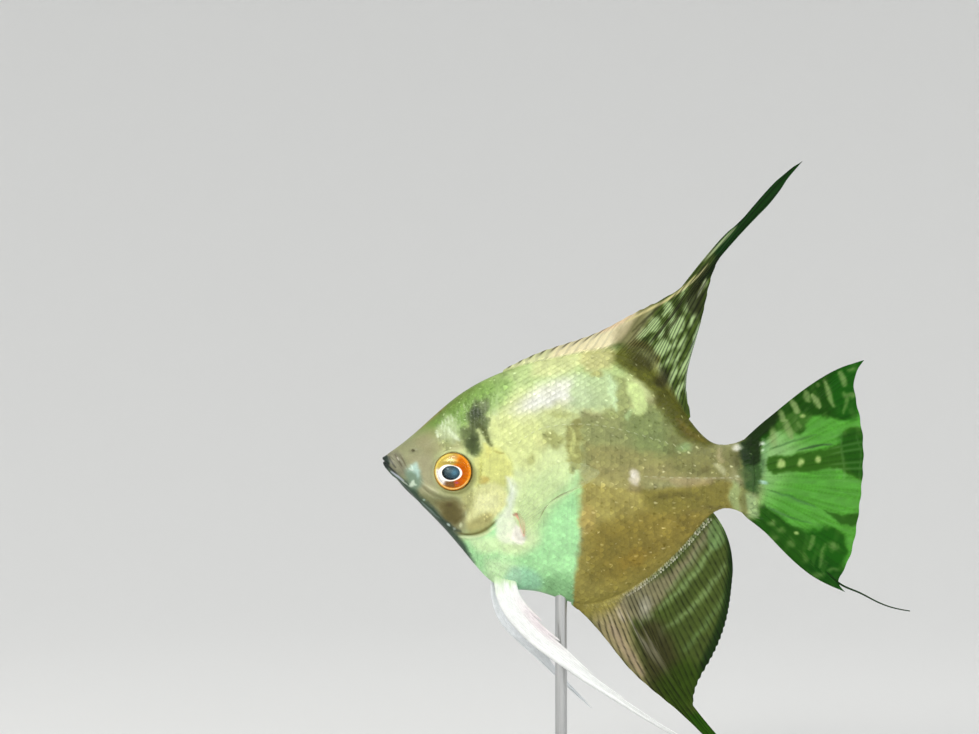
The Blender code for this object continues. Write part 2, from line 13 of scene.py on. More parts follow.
import bpy
import numpy as np
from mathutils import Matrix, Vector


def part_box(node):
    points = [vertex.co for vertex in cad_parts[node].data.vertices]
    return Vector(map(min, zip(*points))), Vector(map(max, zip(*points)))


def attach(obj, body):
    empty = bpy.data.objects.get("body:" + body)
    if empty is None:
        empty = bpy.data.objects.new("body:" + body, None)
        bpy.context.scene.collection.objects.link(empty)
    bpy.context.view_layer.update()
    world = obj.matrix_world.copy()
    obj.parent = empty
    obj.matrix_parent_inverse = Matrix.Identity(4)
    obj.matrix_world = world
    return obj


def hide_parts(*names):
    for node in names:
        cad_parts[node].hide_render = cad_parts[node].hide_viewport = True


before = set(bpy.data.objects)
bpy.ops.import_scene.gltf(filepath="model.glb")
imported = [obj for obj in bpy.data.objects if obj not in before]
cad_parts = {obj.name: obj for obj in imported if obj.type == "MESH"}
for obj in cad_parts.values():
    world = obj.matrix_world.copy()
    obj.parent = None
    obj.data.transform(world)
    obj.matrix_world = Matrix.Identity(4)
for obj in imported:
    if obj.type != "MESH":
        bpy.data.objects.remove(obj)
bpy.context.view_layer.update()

Array = np.ndarray
Knots = tuple[tuple[float, float], ...]
Curve = Callable[[Array], Array]
Colour = tuple[float, float, float]

LOG = logging.getLogger("angelfish")
MM = 0.001
EYE_CENTRE = (17.7, -2.65)
SIDES = {"left": -1, "right": 1}
BODY_LENGTH = 95.0
PATCH = 0.003


# ------------------------------------------------------------------ curves and fields

def spline(knots: Knots) -> Curve:
    """A natural cubic spline through knots.

    Args:
        knots: pairs of position and value, by rising position.
    Returns:
        The value as a function of the position: on each piece the cubic whose slope and bend match its
        neighbours', with no bend at the two ends.
    """
    x, y = np.array(knots, float).T
    step = np.diff(x)
    system = np.eye(len(x))
    change = np.zeros(len(x))
    for i in range(1, len(x) - 1):
        system[i, i - 1:i + 2] = step[i - 1], 2 * (step[i - 1] + step[i]), step[i]
        change[i] = 6 * ((y[i + 1] - y[i]) / step[i] - (y[i] - y[i - 1]) / step[i - 1])
    bend = np.linalg.solve(system, change)

    def value(at: Array) -> Array:
        """The spline's value at each position."""
        at = np.clip(np.asarray(at, float), x[0], x[-1])
        i = np.clip(np.searchsorted(x, at) - 1, 0, len(step) - 1)
        left, right = at - x[i], x[i + 1] - at
        return ((bend[i] * right ** 3 + bend[i + 1] * left ** 3) / (6 * step[i])
                + (y[i] / step[i] - bend[i] * step[i] / 6) * right
                + (y[i + 1] / step[i] - bend[i + 1] * step[i] / 6) * left)

    return value


def linear(knots: Knots) -> Curve:
    """Straight pieces through knots, as a function of the position."""
    x, y = np.array(knots, float).T
    return lambda at: np.interp(at, x, y)


@dataclass(frozen=True)
class Path:
    """A smooth path through a few points, walked by the share 0..1 of its length."""

    points: tuple[tuple[float, ...], ...]

    def trace(self, count: int = 60) -> Array:
        """Points at even steps along the path.

        Args:
            count: how many points.
        Returns:
            The points, one row each.
        """
        return self(np.linspace(0, 1, count))

    def _walk(self) -> tuple[list[Curve], Array, Array]:
        """Splines of each coordinate over the chord length, and the true length run at fine steps."""
        points = np.array(self.points, float)
        chord = np.concatenate([[0], np.cumsum(np.linalg.norm(np.diff(points, axis=0), axis=1))])
        axes = [spline(np.column_stack([chord, points[:, k]])) for k in range(points.shape[1])]
        fine = np.linspace(0, chord[-1], 400)
        traced = np.column_stack([axis(fine) for axis in axes])
        run = np.concatenate([[0], np.cumsum(np.linalg.norm(np.diff(traced, axis=0), axis=1))])
        return axes, fine, run

    @property
    def length(self) -> float:
        """The path's length."""
        return float(self._walk()[2][-1])

    def __call__(self, share: Array) -> Array:
        """Points at shares of the length: splines of the coordinates over the chord, read by length run."""
        axes, fine, run = self._walk()
        where = np.interp(np.asarray(share, float) * run[-1], run, fine)
        return np.stack([axis(where) for axis in axes], axis=-1)


def chained(*paths: Path) -> Curve:
    """Paths end to end with corners between them, as a function of the share of their whole length."""
    lengths = np.array([path.length for path in paths])
    ends = np.concatenate([[0], np.cumsum(lengths)]) / lengths.sum()

    def at(share: Array) -> Array:
        """Points at shares of the whole length."""
        share = np.clip(np.asarray(share, float), 0, 1)
        which = np.clip(np.searchsorted(ends, share, side="right") - 1, 0, len(paths) - 1)
        inside = (share - ends[which]) / (ends[which + 1] - ends[which])
        found = np.array([path(inside) for path in paths])
        return np.take_along_axis(found, which[None, ..., None], axis=0)[0]

    return at


def ease(value: Array, low: float, high: float) -> Array:
    """0 below low, 1 above high, and the cubic 3s^2 - 2s^3 between them."""
    s = np.clip((value - low) / (high - low), 0, 1)
    return s * s * (3 - 2 * s)


def bell(value: Array, width: Array | float) -> Array:
    """A bell curve: 1 at 0, and 1/e at the width on both sides."""
    return np.exp(-(value / width) ** 2)


def from_whole(count: Array) -> Array:
    """How far a count lies from the nearest whole number, with its sign."""
    return count - np.round(count)


def turns(count: int) -> Array:
    """Angles of even steps round a circle."""
    return np.linspace(0, 2 * np.pi, count + 1)[:-1]


def unit(vectors: Array) -> Array:
    """Vectors drawn to length 1."""
    return vectors / np.linalg.norm(vectors, axis=-1, keepdims=True)


def noise(x: Array, z: Array, size: float, seed: int = 0) -> Array:
    """Smooth noise in -1..1: a repeatable random value at each corner of a grid, eased between corners.

    Args:
        x, z: places, in millimetres.
        size: side of a cell of the grid.
        seed: picks another pattern.
    Returns:
        The noise at each place.
    """
    u, v = np.asarray(x, float) / size, np.asarray(z, float) / size
    column, row = np.floor(u), np.floor(v)
    a, b = ease(u - column, 0, 1), ease(v - row, 0, 1)

    def corner(right: int, up: int) -> Array:
        """The random value at one corner of each place's cell."""
        mixed = ((column + right).astype(np.int64) * 374761393 + (row + up).astype(np.int64) * 668265263
                 + seed * 1274126177) & 0xFFFFFFFF
        mixed = ((mixed ^ (mixed >> 13)) * 1103515245) & 0xFFFFFFFF
        return ((mixed ^ (mixed >> 16)) & 0xFFFF) / 32767.5 - 1

    low = corner(0, 0) * (1 - a) + corner(1, 0) * a
    high = corner(0, 1) * (1 - a) + corner(1, 1) * a
    return low * (1 - b) + high * b


def cloud(x: Array, z: Array, size: float, seed: int = 0) -> Array:
    """Three layers of noise, each half as large and half as strong as the one before."""
    return sum(noise(x, z, size / 2 ** k, seed + k) / 2 ** k for k in range(3)) / 1.75


def path_distance(x: Array, z: Array, path: Array) -> tuple[Array, Array]:
    """Distance to a path of straight pieces.

    Args:
        x, z: places.
        path: the path's corners, one row each.
    Returns:
        The distance of each place to the nearest piece, and the share of the path's length there.
    """
    steps = np.diff(path, axis=0)
    lengths = np.linalg.norm(steps, axis=1)
    runs = np.concatenate([[0], np.cumsum(lengths)])
    best = np.full(x.shape, np.inf)
    share = np.zeros(x.shape)
    for start, step, length, run in zip(path, steps, lengths, runs):
        along = np.clip(((x - start[0]) * step[0] + (z - start[1]) * step[1]) / length ** 2, 0, 1)
        away = np.hypot(x - start[0] - along * step[0], z - start[1] - along * step[1])
        closer = away < best
        best = np.where(closer, away, best)
        share = np.where(closer, (run + along * length) / runs[-1], share)
    return best, share


def depth_inside(x: Array, z: Array, outline: Array) -> Array:
    """Distance to a closed outline, positive inside, where a line to the left crosses it oddly often."""
    ring = np.concatenate([outline, outline[:1]])
    crossed = np.zeros(x.shape, bool)
    for (ax, az), (bx, bz) in zip(ring[:-1], ring[1:]):
        if az != bz:
            crossed ^= ((az > z) != (bz > z)) & (x > ax + (z - az) * (bx - ax) / (bz - az))
    return np.where(crossed, 1, -1) * path_distance(x, z, ring)[0]


# ------------------------------------------------------------------ meshes

def box_centre(node: str) -> Array:
    """The middle of a CAD node's box, in millimetres."""
    low, high = (np.array(corner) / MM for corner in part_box(node))
    return (low + high) / 2


@dataclass(frozen=True)
class FishFrame:
    """Where the fish's own frame lies: its eyes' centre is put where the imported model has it."""

    origin: tuple[float, float, float]

    @classmethod
    def from_model(cls) -> "FishFrame":
        """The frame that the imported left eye's box gives."""
        centre = box_centre("eye_left")
        return cls((float(centre[0] - EYE_CENTRE[0]), 0.0, float(centre[2] - EYE_CENTRE[1])))

    def place(self, points: Array) -> Array:
        """Points of the fish's frame, in millimetres, as scene points in metres."""
        return (np.asarray(points, float) + self.origin) * MM


FISH = FishFrame.from_model()


def grid_quads(rows: int, columns: int, first: int = 0, closed: bool = False) -> Array:
    """Corners of the quads of a grid of points stored row by row.

    Args:
        rows, columns: the grid's size.
        first: number of its first point.
        closed: joins the last column to the first.
    Returns:
        One row of four point numbers for each quad.
    """
    number = first + np.arange(rows * columns).reshape(rows, columns)
    if closed:
        number = np.concatenate([number, number[:, :1]], axis=1)
    return np.stack([number[:-1, :-1], number[:-1, 1:], number[1:, 1:], number[1:, :-1]],
                    axis=-1).reshape(-1, 4)


def shell_quads(rows: int, columns: int) -> Array:
    """Quads of a thin closed shell: a grid of points, its other face's grid, and the rim between them."""
    number = np.arange(rows * columns).reshape(rows, columns)
    rim = np.concatenate([number[:, 0], number[-1, 1:], number[-2::-1, -1], number[0, -2:0:-1]])
    after, count = np.roll(rim, -1), rows * columns
    return np.concatenate([grid_quads(rows, columns), grid_quads(rows, columns, count)[:, ::-1],
                           np.column_stack([rim, count + rim, count + after, after])])


def tube_faces(rings: int, around: int) -> tuple[Array, Array]:
    """Faces of a closed tube stored ring by ring: its quads, and the triangles that close its ends."""
    ring = np.arange(1, around - 1)
    fan = np.column_stack([0 * ring, ring + 1, ring])
    return grid_quads(rings, around, closed=True), np.concatenate([fan, fan[:, ::-1] + (rings - 1) * around])


def repeated(faces: Array, points: int, count: int) -> Array:
    """The faces of count like meshes of so many points each, stored one after another."""
    return (faces[None] + points * np.arange(count)[:, None, None]).reshape(-1, faces.shape[1])


def linear_light(colour: Array) -> Array:
    """Display colours 0..255 as linear light 0..1, by the standard display curve."""
    share = np.clip(np.asarray(colour, float) / 255, 0, 1)
    return np.where(share <= 0.04045, share / 12.92, ((share + 0.055) / 1.055) ** 2.4)


def new_object(name: str, data: bpy.types.ID) -> bpy.types.Object:
    """An object that shows its data, linked to the scene."""
    made = bpy.data.objects.new(name, data)
    bpy.context.scene.collection.objects.link(made)
    return made


def make_piece(name: str, points: Array, quads: Array, tris: Array | None = None, paint: Array | None = None,
               sharp: float | None = None) -> bpy.types.Object:
    """A smooth-shaded mesh object, its faces turned outwards.

    Args:
        name: the object's name.
        points: places in the fish's frame.
        quads, tris: point numbers of the faces.
        paint: red, green, blue as display colours 0..255, and a fourth share 0..1, for each point.
        sharp: angle in radians past which an edge is shaded sharp.
    Returns:
        The object, linked to the scene.
    """
    tris = np.empty((0, 3), int) if tris is None else np.asarray(tris)
    loose = np.concatenate([quads[:, [0, 1, 2]], quads[:, [0, 2, 3]], tris])
    if np.linalg.det(points[loose]).sum() < 0:
        quads, tris = quads[:, ::-1], tris[:, ::-1]
    mesh = bpy.data.meshes.new(name)
    mesh.vertices.add(len(points))
    mesh.vertices.foreach_set("co", FISH.place(points).ravel())
    corners = np.concatenate([quads.ravel(), tris.ravel()])
    mesh.loops.add(len(corners))
    mesh.loops.foreach_set("vertex_index", corners.astype(np.int32))
    sizes = np.concatenate([np.full(len(quads), 4), np.full(len(tris), 3)])
    mesh.polygons.add(len(sizes))
    mesh.polygons.foreach_set("loop_start", (np.cumsum(sizes) - sizes).astype(np.int32))
    mesh.update(calc_edges=True)
    mesh.shade_smooth()
    if sharp is not None:
        mesh.set_sharp_from_angle(angle=sharp)
    if paint is not None:
        layer = mesh.color_attributes.new("paint", "FLOAT_COLOR", "POINT")
        light = np.column_stack([linear_light(paint[:, :3]), paint[:, 3]])
        layer.data.foreach_set("color", light.astype(np.float32).ravel())
    LOG.info("%s: %d triangles", name, 2 * len(quads) + len(tris))
    return new_object(name, mesh)


def settle(piece: bpy.types.Object, finish: bpy.types.Material, slot: str, *nodes: str) -> None:
    """Gives a piece its finish, fixes it to the one body, and hides the CAD nodes it stands for."""
    piece.data.materials.append(finish)
    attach(piece, "root")
    if nodes:
        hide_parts(*nodes)


def sheet_piece(node: str, place: Array, y: Array, half: Array, paint: Array, finish: bpy.types.Material,
                slot: str) -> None:
    """A fin's closed sheet, which replaces its CAD node.

    Args:
        node: the CAD node.
        place: x and z of the middle sheet's grid of points.
        y, half: the middle sheet's y, and how far its two faces stand off it.
        paint: colours of the grid.
        finish, slot: the material, and a slot that is not used.
    """
    faces = [np.stack([place[..., 0], y + s * half, place[..., 1]], axis=-1).reshape(-1, 3) for s in (-1, 1)]
    piece = make_piece(f"{node}_sheet", np.concatenate(faces), shell_quads(*y.shape), None,
                       np.tile(paint.reshape(-1, 4), (2, 1)))
    settle(piece, finish, slot, node)


def plate_piece(name: str, points: Array, cells: tuple[int, int], paint: Array, spots: Array,
                finish: bpy.types.Material) -> None:
    """Many small closed plates as one piece of the coat.

    Args:
        name: its name.
        points: places of every plate's outer and inner grid.
        cells: rows and columns of a plate's grid.
        paint: colours by plate and point.
        spots: OFBake's u and v by plate and point of one face.
        finish: the material.
    """
    number = cells[0] * cells[1]
    quads = repeated(shell_quads(*cells)[:, ::-1], 2 * number, len(spots))
    piece = make_piece(name, points, quads, None, paint.reshape(-1, 4), sharp=0.9)
    corner = np.empty(len(piece.data.loops), np.int32)
    piece.data.loops.foreach_get("vertex_index", corner)
    both = np.repeat(spots.reshape(-1, 1, number, 2), 2, axis=1).reshape(-1, 2)
    piece.data.uv_layers.new(name="OFBake").data.foreach_set("uv", both[corner].astype(np.float32).ravel())
    settle(piece, finish, "skin")


# ------------------------------------------------------------------ shading

class Shading:
    """A node tree with short calls: add makes a node, and feed sets an input or links an output to it."""

    def __init__(self, tree: bpy.types.NodeTree) -> None:
        """Wraps a node tree."""
        self.tree = tree

    def feed(self, socket: bpy.types.NodeSocket, value: object) -> None:
        """Links an output to an input, or sets the input to a plain value."""
        if isinstance(value, bpy.types.NodeSocket):
            self.tree.links.new(value, socket)
        else:
            socket.default_value = value

    def add(self, kind: str, **settings: object) -> bpy.types.Node:
        """Adds a node.

        Args:
            kind: Blender's name of the node's type, without ShaderNode.
            settings: its properties, or values and outputs for its inputs, with _ for a space.
        Returns:
            The node.
        """
        made = self.tree.nodes.new(kind if kind.startswith("NodeGroup") else "ShaderNode" + kind)
        for name, value in settings.items():
            if hasattr(made, name):
                setattr(made, name, value)
            else:
                self.feed(made.inputs[name.replace("_", " ")], value)
        return made

    def mix(self, share: object, one: object, two: object) -> bpy.types.NodeSocket:
        """A mix of two colours by a share of the second, and its output."""
        made = self.add("Mix", data_type="RGBA")
        for number, value in ((0, share), (6, one), (7, two)):
            self.feed(made.inputs[number], value)
        return made.outputs[2]

    def math(self, work: str, *values: object) -> bpy.types.NodeSocket:
        """A sum of numbers or outputs, and its output."""
        made = self.add("Math", operation=work)
        for socket, value in zip(made.inputs, values):
            self.feed(socket, value)
        return made.outputs[0]

    def bump(self, shader: bpy.types.Node, height: bpy.types.NodeSocket, strength: float,
             depth: float) -> None:
        """Lets a height push a shader's normal about."""
        made = self.add("Bump", Strength=strength, Distance=depth, Height=height)
        self.feed(shader.inputs["Normal"], made.outputs["Normal"])


def new_material(name: str, **settings: object) -> tuple[bpy.types.Material, Shading, bpy.types.Node]:
    """A material, its shading and its shader; settings go to the shader's inputs, with _ for a space."""
    material = bpy.data.materials.new(name)
    material.use_nodes = True
    shader = material.node_tree.nodes["Principled BSDF"]
    for label, value in settings.items():
        shader.inputs[label.replace("_", " ")].default_value = value
    return material, Shading(material.node_tree), shader


def fleck_group() -> bpy.types.NodeTree:
    """Fine pigment: flecks that lighten and darken a colour, and the height of the skin's grain.

    Returns:
        A group that takes Color, Size (flecks to the metre) and Amount, and puts out Color and Height.
    """
    group = bpy.data.node_groups.new("pigment flecks", "ShaderNodeTree")
    sockets = (("INPUT", "Color", "Color"), ("INPUT", "Size", "Float"), ("INPUT", "Amount", "Float"),
               ("OUTPUT", "Color", "Color"), ("OUTPUT", "Height", "Float"))
    for way, label, kind in sockets:
        group.interface.new_socket(label, in_out=way, socket_type="NodeSocket" + kind)
    make = Shading(group)
    given, out = make.add("NodeGroupInput"), make.add("NodeGroupOutput")
    place, size = make.add("TexCoord").outputs["Object"], given.outputs["Size"]
    coarse = make.add("TexNoise", Detail=3.0, Roughness=0.6, Vector=place, Scale=size)
    fine = make.add("TexVoronoi", Vector=place, Scale=make.math("MULTIPLY", size, 3.0))
    swing = make.math("MULTIPLY_ADD", coarse.outputs["Fac"], 1.6, -0.8)
    dots = make.math("MULTIPLY_ADD", fine.outputs["Distance"], 1.1, -0.45)
    height = make.math("ADD", swing, dots)
    gain = make.math("MULTIPLY_ADD", height, given.outputs["Amount"], 1.0)
    scaled = make.add("VectorMath", operation="SCALE", Scale=gain)
    make.feed(scaled.inputs[0], given.outputs["Color"])
    make.feed(out.inputs["Color"], scaled.outputs[0])
    make.feed(out.inputs["Height"], height)
    return group


@dataclass(frozen=True)
class Finish:
    """A painted and varnished surface whose colour the points carry, broken up by fine flecks."""

    name: str
    flecks: bpy.types.NodeTree
    roughness: float = 0.4
    coat: float = 0.12
    specular: float = 0.3
    fleck_size: float = 900.0
    fleck_amount: float = 0.14
    bump: float = 0.25
    sheen_metal: float = 0.0
    clear: bool = False

    def build(self) -> bpy.types.Material:
        """The material: paint through flecks to colour, the paint's fourth share to metal or clearness."""
        material, make, shader = new_material(self.name, Coat_Weight=self.coat, Coat_Roughness=0.12,
                                              Specular_IOR_Level=self.specular)
        paint = make.add("Attribute", attribute_name="paint")
        flecks = make.add("Group", node_tree=self.flecks, Size=self.fleck_size, Amount=self.fleck_amount,
                          Color=paint.outputs["Color"])
        height = flecks.outputs["Height"]
        make.feed(shader.inputs["Base Color"], flecks.outputs["Color"])
        make.feed(shader.inputs["Roughness"], make.math("MULTIPLY_ADD", height, 0.12, self.roughness))
        if self.clear:
            make.feed(shader.inputs["Alpha"], paint.outputs["Alpha"])
        elif self.sheen_metal:
            metal = make.math("MULTIPLY", paint.outputs["Alpha"], self.sheen_metal)
            make.feed(shader.inputs["Metallic"], metal)
        make.bump(shader, height, self.bump, 0.00004)
        return material


# ------------------------------------------------------------------ body

@dataclass(frozen=True)
class BodyForm:
    """The body's outline and sections, at distances x from the tip of the snout."""

    back: Knots = ((0, 0.8), (6, 5.2), (17.5, 15.3), (28, 21.5), (45, 26.2), (55, 27.3), (63, 25.2),
                   (70, 19.0), (76.3, 10.7), (82, 4.8), (86, 4.1), (88.6, 4.7), (91, 5.9), (93.6, 7.8))
    belly: Knots = ((0, -1.0), (6, -7.9), (11, -12.7), (16, -18.0), (21.5, -24.6), (27, -30.5), (38, -33.0),
                    (50, -36.3), (56, -35.3), (62, -32.4), (69, -27.4), (77, -19.4), (82.2, -13.7),
                    (86, -12.3), (88.6, -12.9), (91, -14.2), (93.6, -16.4))
    half_width: Knots = ((0, 1.3), (3, 2.6), (8, 4.3), (13, 5.6), (18, 6.5), (25, 7.5), (33, 8.2), (42, 8.0),
                         (52, 7.0), (62, 5.6), (72, 4.2), (80, 3.2), (86, 2.4), (93.6, 1.7))
    level: Knots = ((0, -0.1), (8, -1.8), (18, -3.4), (32, -4.0), (50, -4.0), (70, -3.8), (93.6, -4.6))
    edge: Knots = ((0, 0.3), (26, 0.4), (34, 0.7), (75, 0.8), (81, 0.4), (93.6, 0.4))
    upper: Knots = ((0, 0.5), (20, 0.58), (40, 0.72), (75, 0.8), (82, 0.55), (93.6, 0.5))
    lower: Knots = ((0, 0.5), (20, 0.66), (40, 0.74), (75, 0.85), (82, 0.55), (93.6, 0.5))
    coat: Knots = ((0, 0.06), (12, 0.08), (26, 0.24), (93.6, 0.24))
    end_middle: float = 92.9
    end_corner: float = 90.0

    def reach(self, x: Array, share: Array) -> tuple[Array, Array]:
        """The widest level at x, and the height from there to the back or the belly, by the share's sign."""
        level = spline(self.level)(x)
        upwards = spline(self.back)(x) - level - linear(self.coat)(x)
        downwards = level - spline(self.belly)(x) - linear(self.coat)(x)
        return level, np.where(share >= 0, upwards, downwards)

    def share(self, x: Array, z: Array) -> Array:
        """The height share, 1 at the back and -1 at the belly, of a height z at x."""
        level = spline(self.level)(x)
        return (z - level) / self.reach(x, z - level)[1]

    def point(self, x: Array, share: Array) -> Array:
        """Points of the bare skin's right side.

        The height runs from the widest level in proportion to the share s. The width is w (1 - s^2)^q, where
        q fills or thins the section, plus a thin edge that rounds off as the root of 1 - s^24. In the first
        millimetre the width and the height close like an ellipse, and the width closes again at the tail.

        Args:
            x: distances from the tip of the snout.
            share: height shares, from 1 at the back to -1 at the belly.
        Returns:
            The points, with y to the right.
        """
        x, share = np.broadcast_arrays(np.asarray(x, float), np.asarray(share, float))
        level, reach = self.reach(x, share)
        size = np.clip(np.abs(share), 0, 1)
        power = np.where(share >= 0, linear(self.upper)(x), linear(self.lower)(x))
        edge = linear(self.edge)(x)
        width = spline(self.half_width)(x) - linear(self.coat)(x) - edge
        nose = np.sqrt(1 - (1 - np.clip(x / 0.9, 0, 1)) ** 2)
        run = x + (self.end_middle - self.end_corner) * share ** 2
        closing = np.sqrt(1 - 0.95 * ease(run, self.end_middle - 4.5, self.end_middle))
        half = (width * (1 - size ** 2) ** power + edge * np.sqrt(1 - size ** 24)) * nose * closing
        return np.stack([x, half, level + reach * share * (0.5 + 0.5 * nose)], axis=-1)

    def tangents(self, x: Array, share: Array) -> tuple[Array, Array, Array]:
        """Points of the right side, the direction along the body there, and the outward normal.

        Args:
            x, share: as for point.
        Returns:
            Points, unit directions backwards, and unit outward normals.
        """
        small = 0.05
        share = np.clip(share, -0.995, 0.995)
        here = self.point(x, share)
        backwards = self.point(x + small, share) - here
        upwards = self.point(x, share + 0.002) - here
        normal = np.cross(upwards, backwards)
        normal *= np.sign(normal[..., 1:2]) / np.linalg.norm(normal, axis=-1, keepdims=True)
        return here, unit(backwards), normal


class Shape(Enum):
    """What a feature covers: round a spot, along a stroke, or inside an outline."""

    SPOT = "spot"
    STROKE = "stroke"
    FIELD = "field"


@dataclass(frozen=True)
class Cover:
    """Where a marking or a relief lies, as a share 0..1 of full strength."""

    shape: Shape
    points: tuple[tuple[float, float], ...]
    size: tuple[float, float] = (1.0, 1.0)
    soft: float = 0.4
    ragged: float = 0.0
    tilt: float = 0.0
    seed: int = 0

    def share(self, x: Array, z: Array) -> Array:
        """The share at each place.

        A spot fades where its ellipse's own radius passes 1, a stroke where the distance to its path passes
        its half width, which narrows towards both ends, and a field across its outline. A ragged cover is
        read at places shifted by noise.

        Args:
            x, z: places.
        Returns:
            0..1 at each place.
        """
        corners = np.array(self.points, float)
        margin = max(self.size) * (self.shape is not Shape.FIELD) + self.soft + 1.5 * self.ragged + 0.5
        low, high = corners.min(0) - margin, corners.max(0) + margin
        near = (x > low[0]) & (x < high[0]) & (z > low[1]) & (z < high[1])
        result = np.zeros(x.shape)
        u, v = x[near], z[near]
        if not len(u):
            return result
        if self.ragged:
            sway = cloud(u, v, 1.9, self.seed + 3) + 0.22 * noise(u, v, 0.5, self.seed + 5)
            lift = cloud(u, v, 2.3, self.seed + 8) + 0.22 * noise(u, v, 0.6, self.seed + 9)
            u, v = u + self.ragged * sway, v + self.ragged * lift
        if self.shape is Shape.SPOT:
            turn = np.radians(self.tilt)
            du, dv = u - corners[0, 0], v - corners[0, 1]
            along, across = du * np.cos(turn) + dv * np.sin(turn), dv * np.cos(turn) - du * np.sin(turn)
            radius = np.hypot(along / self.size[0], across / self.size[1])
            blur = self.soft / min(self.size)
            result[near] = 1 - ease(radius, 1 - blur, 1 + blur)
        elif self.shape is Shape.STROKE:
            away, run = path_distance(u, v, Path(self.points).trace(14) if len(corners) > 2 else corners)
            half = self.size[0] * np.clip(4 * run * (1 - run), 0, 1) ** 0.5
            result[near] = 1 - ease(away - half, -self.soft, self.soft)
            result[near] *= ease(half, 0, 0.5 * self.size[0])
        else:
            loop = Path((*self.points, self.points[0])).trace(8 * len(corners))[:-1]
            result[near] = ease(depth_inside(u, v, loop), -self.soft, self.soft)
        return result


def spot(soft: float, ragged: float, x: float, z: float, along: float, across: float, tilt: float = 0.0,
         seed: int = 0) -> Cover:
    """A round or oval cover about one place, with its half sizes and its turn in degrees."""
    return Cover(Shape.SPOT, ((x, z),), (along, across), soft, ragged, tilt, seed)


def stroke(soft: float, ragged: float, width: float, *points: tuple[float, float]) -> Cover:
    """A cover along a path, with its half width."""
    return Cover(Shape.STROKE, points, (width, width), soft, ragged)


def area(soft: float, ragged: float, *points: tuple[float, float], seed: int = 0) -> Cover:
    """A cover inside a smooth closed outline."""
    return Cover(Shape.FIELD, points, (1.0, 1.0), soft, ragged, seed=seed)


GILL_REAR = ((25.2, 4.6), (30.2, 2.6), (32.3, -2.6), (31.8, -8.0), (29.4, -13.4), (25.6, -17.0),
             (21.6, -18.2), (17.6, -17.6))
GILL_FRONT = ((20.3, -14.4), (23.0, -9.6), (24.2, -3.2))


@dataclass(frozen=True)
class Relief:
    """How far a part of the head stands out from the plain form, in millimetres; negative sinks it."""

    cover: Cover
    height: float


HEAD_RELIEF = (
    Relief(stroke(0.2, 0, 0.24, (-0.8, 0.5), (0.9, -1), (2.3, -2.3), (3.7, -3.5)), -0.32),
    Relief(stroke(0.35, 0, 0.55, (-0.4, 0.9), (1.3, -0.4), (2.8, -1.8), (4.2, -3.1)), 0.24),
    Relief(stroke(0.35, 0, 0.45, (-0.4, -0.6), (0.8, -1.9), (2.3, -3.3), (3.8, -4.5)), 0.2),
    Relief(stroke(0.2, 0, 0.22, (0.8, 1.6), (2.4, 0.3), (4, -1.4), (5.2, -3.2)), -0.16),
    Relief(stroke(0.2, 0, 0.22, (2.2, 2.3), (3.8, 1), (5.4, -0.8), (6.4, -2.8)), -0.13),
    Relief(stroke(0.22, 0, 0.25, (2.6, -4.2), (5, -6.4), (7.6, -9.2), (10, -12)), -0.18),
    Relief(stroke(0.3, 0, 0.3, (7, -5.2), (9.5, -8.6), (12.6, -12), (15.6, -15.2)), -0.14),
    Relief(spot(0.3, 0, 7.5, 2.5, 0.75, 0.6), 0.18),
    Relief(spot(0.15, 0, 7.6, 2.4, 0.34, 0.28), -0.5),
    Relief(spot(1.8, 0, 9.6, -1.2, 3, 2.2, 35), -0.3),
    Relief(stroke(0.4, 0, 0.5, (9.8, -4.6), (12.4, -7.2), (16.6, -8.9), (20.4, -8.6)), 0.2),
    Relief(stroke(0.24, 0, 0.24, (9.2, -6), (12, -8.6), (15.8, -10.2)), -0.2),
    Relief(area(1.6, 0, (7, -5), (12, -9), (18, -9.5), (21, -13), (17, -16), (12, -12), (8, -8)), 0.3),
    Relief(stroke(0.3, 0, 0.35, (24.2, 3.4), (23.3, -3.5), (22.4, -8.6), (20.4, -12.6), (17.2, -15.6)), 0.2),
    Relief(stroke(0.22, 0, 0.3, (25, 2.8), (24.2, -3.5), (23.3, -9), (21.2, -13.4), (18, -16.4)), -0.28),
    Relief(stroke(0.2, 0, 0.22, (24.5, -12.4), (27.4, -11), (30.4, -8.6)), -0.12),
    Relief(area(0.24, 0, *GILL_REAR, *GILL_FRONT), 0.34),
    Relief(stroke(0.9, 0, 0.9, (31.6, 1), (32.6, -3), (32, -8), (30.2, -12.4)), 0.16),
    Relief(area(0.15, 0, (29.5, 1.5), (32.6, -1.5), (33.3, -6.5), (32, -11.5), (29.5, -15.5), (25.5, -18.6),
         (20.5, -19.4), (24, -12), (28, -5)), 0.16),
    Relief(area(0.45, 0, (32.4, -12.2), (34.3, -12), (36, -15.2), (35.8, -18.6), (34.2, -19.4), (33, -16.2)),
         0.55),
)
"""Mouth cleft and lips, the folds behind them, jaw line, nostril, the hollow before the eye, the cheek and
its plate's two edges, gill cover, its membrane and the fleshy root of the pectoral fin."""

ORBIT_RADIUS = 4.66
RIM_HEIGHT = 0.34
SOCKET_DEPTH = 2.6


def rise(x: Array, z: Array) -> Array:
    """How far the skin stands out at places of the side: head relief, orbit rim and eye socket.

    Args:
        x, z: places.
    Returns:
        Outward height; the rim is a bell curve round the orbit's edge, and the socket a steep round pit.
    """
    total = sum(part.height * part.cover.share(x, z) for part in HEAD_RELIEF)
    radius = np.hypot(x - EYE_CENTRE[0], z - EYE_CENTRE[1])
    total = total * ease(radius, ORBIT_RADIUS, ORBIT_RADIUS + 0.8)
    total += RIM_HEIGHT * bell(radius - ORBIT_RADIUS - 0.45, 0.42)
    return total - SOCKET_DEPTH * (1 - ease(radius, ORBIT_RADIUS - 0.28, ORBIT_RADIUS))


# ------------------------------------------------------------------ markings

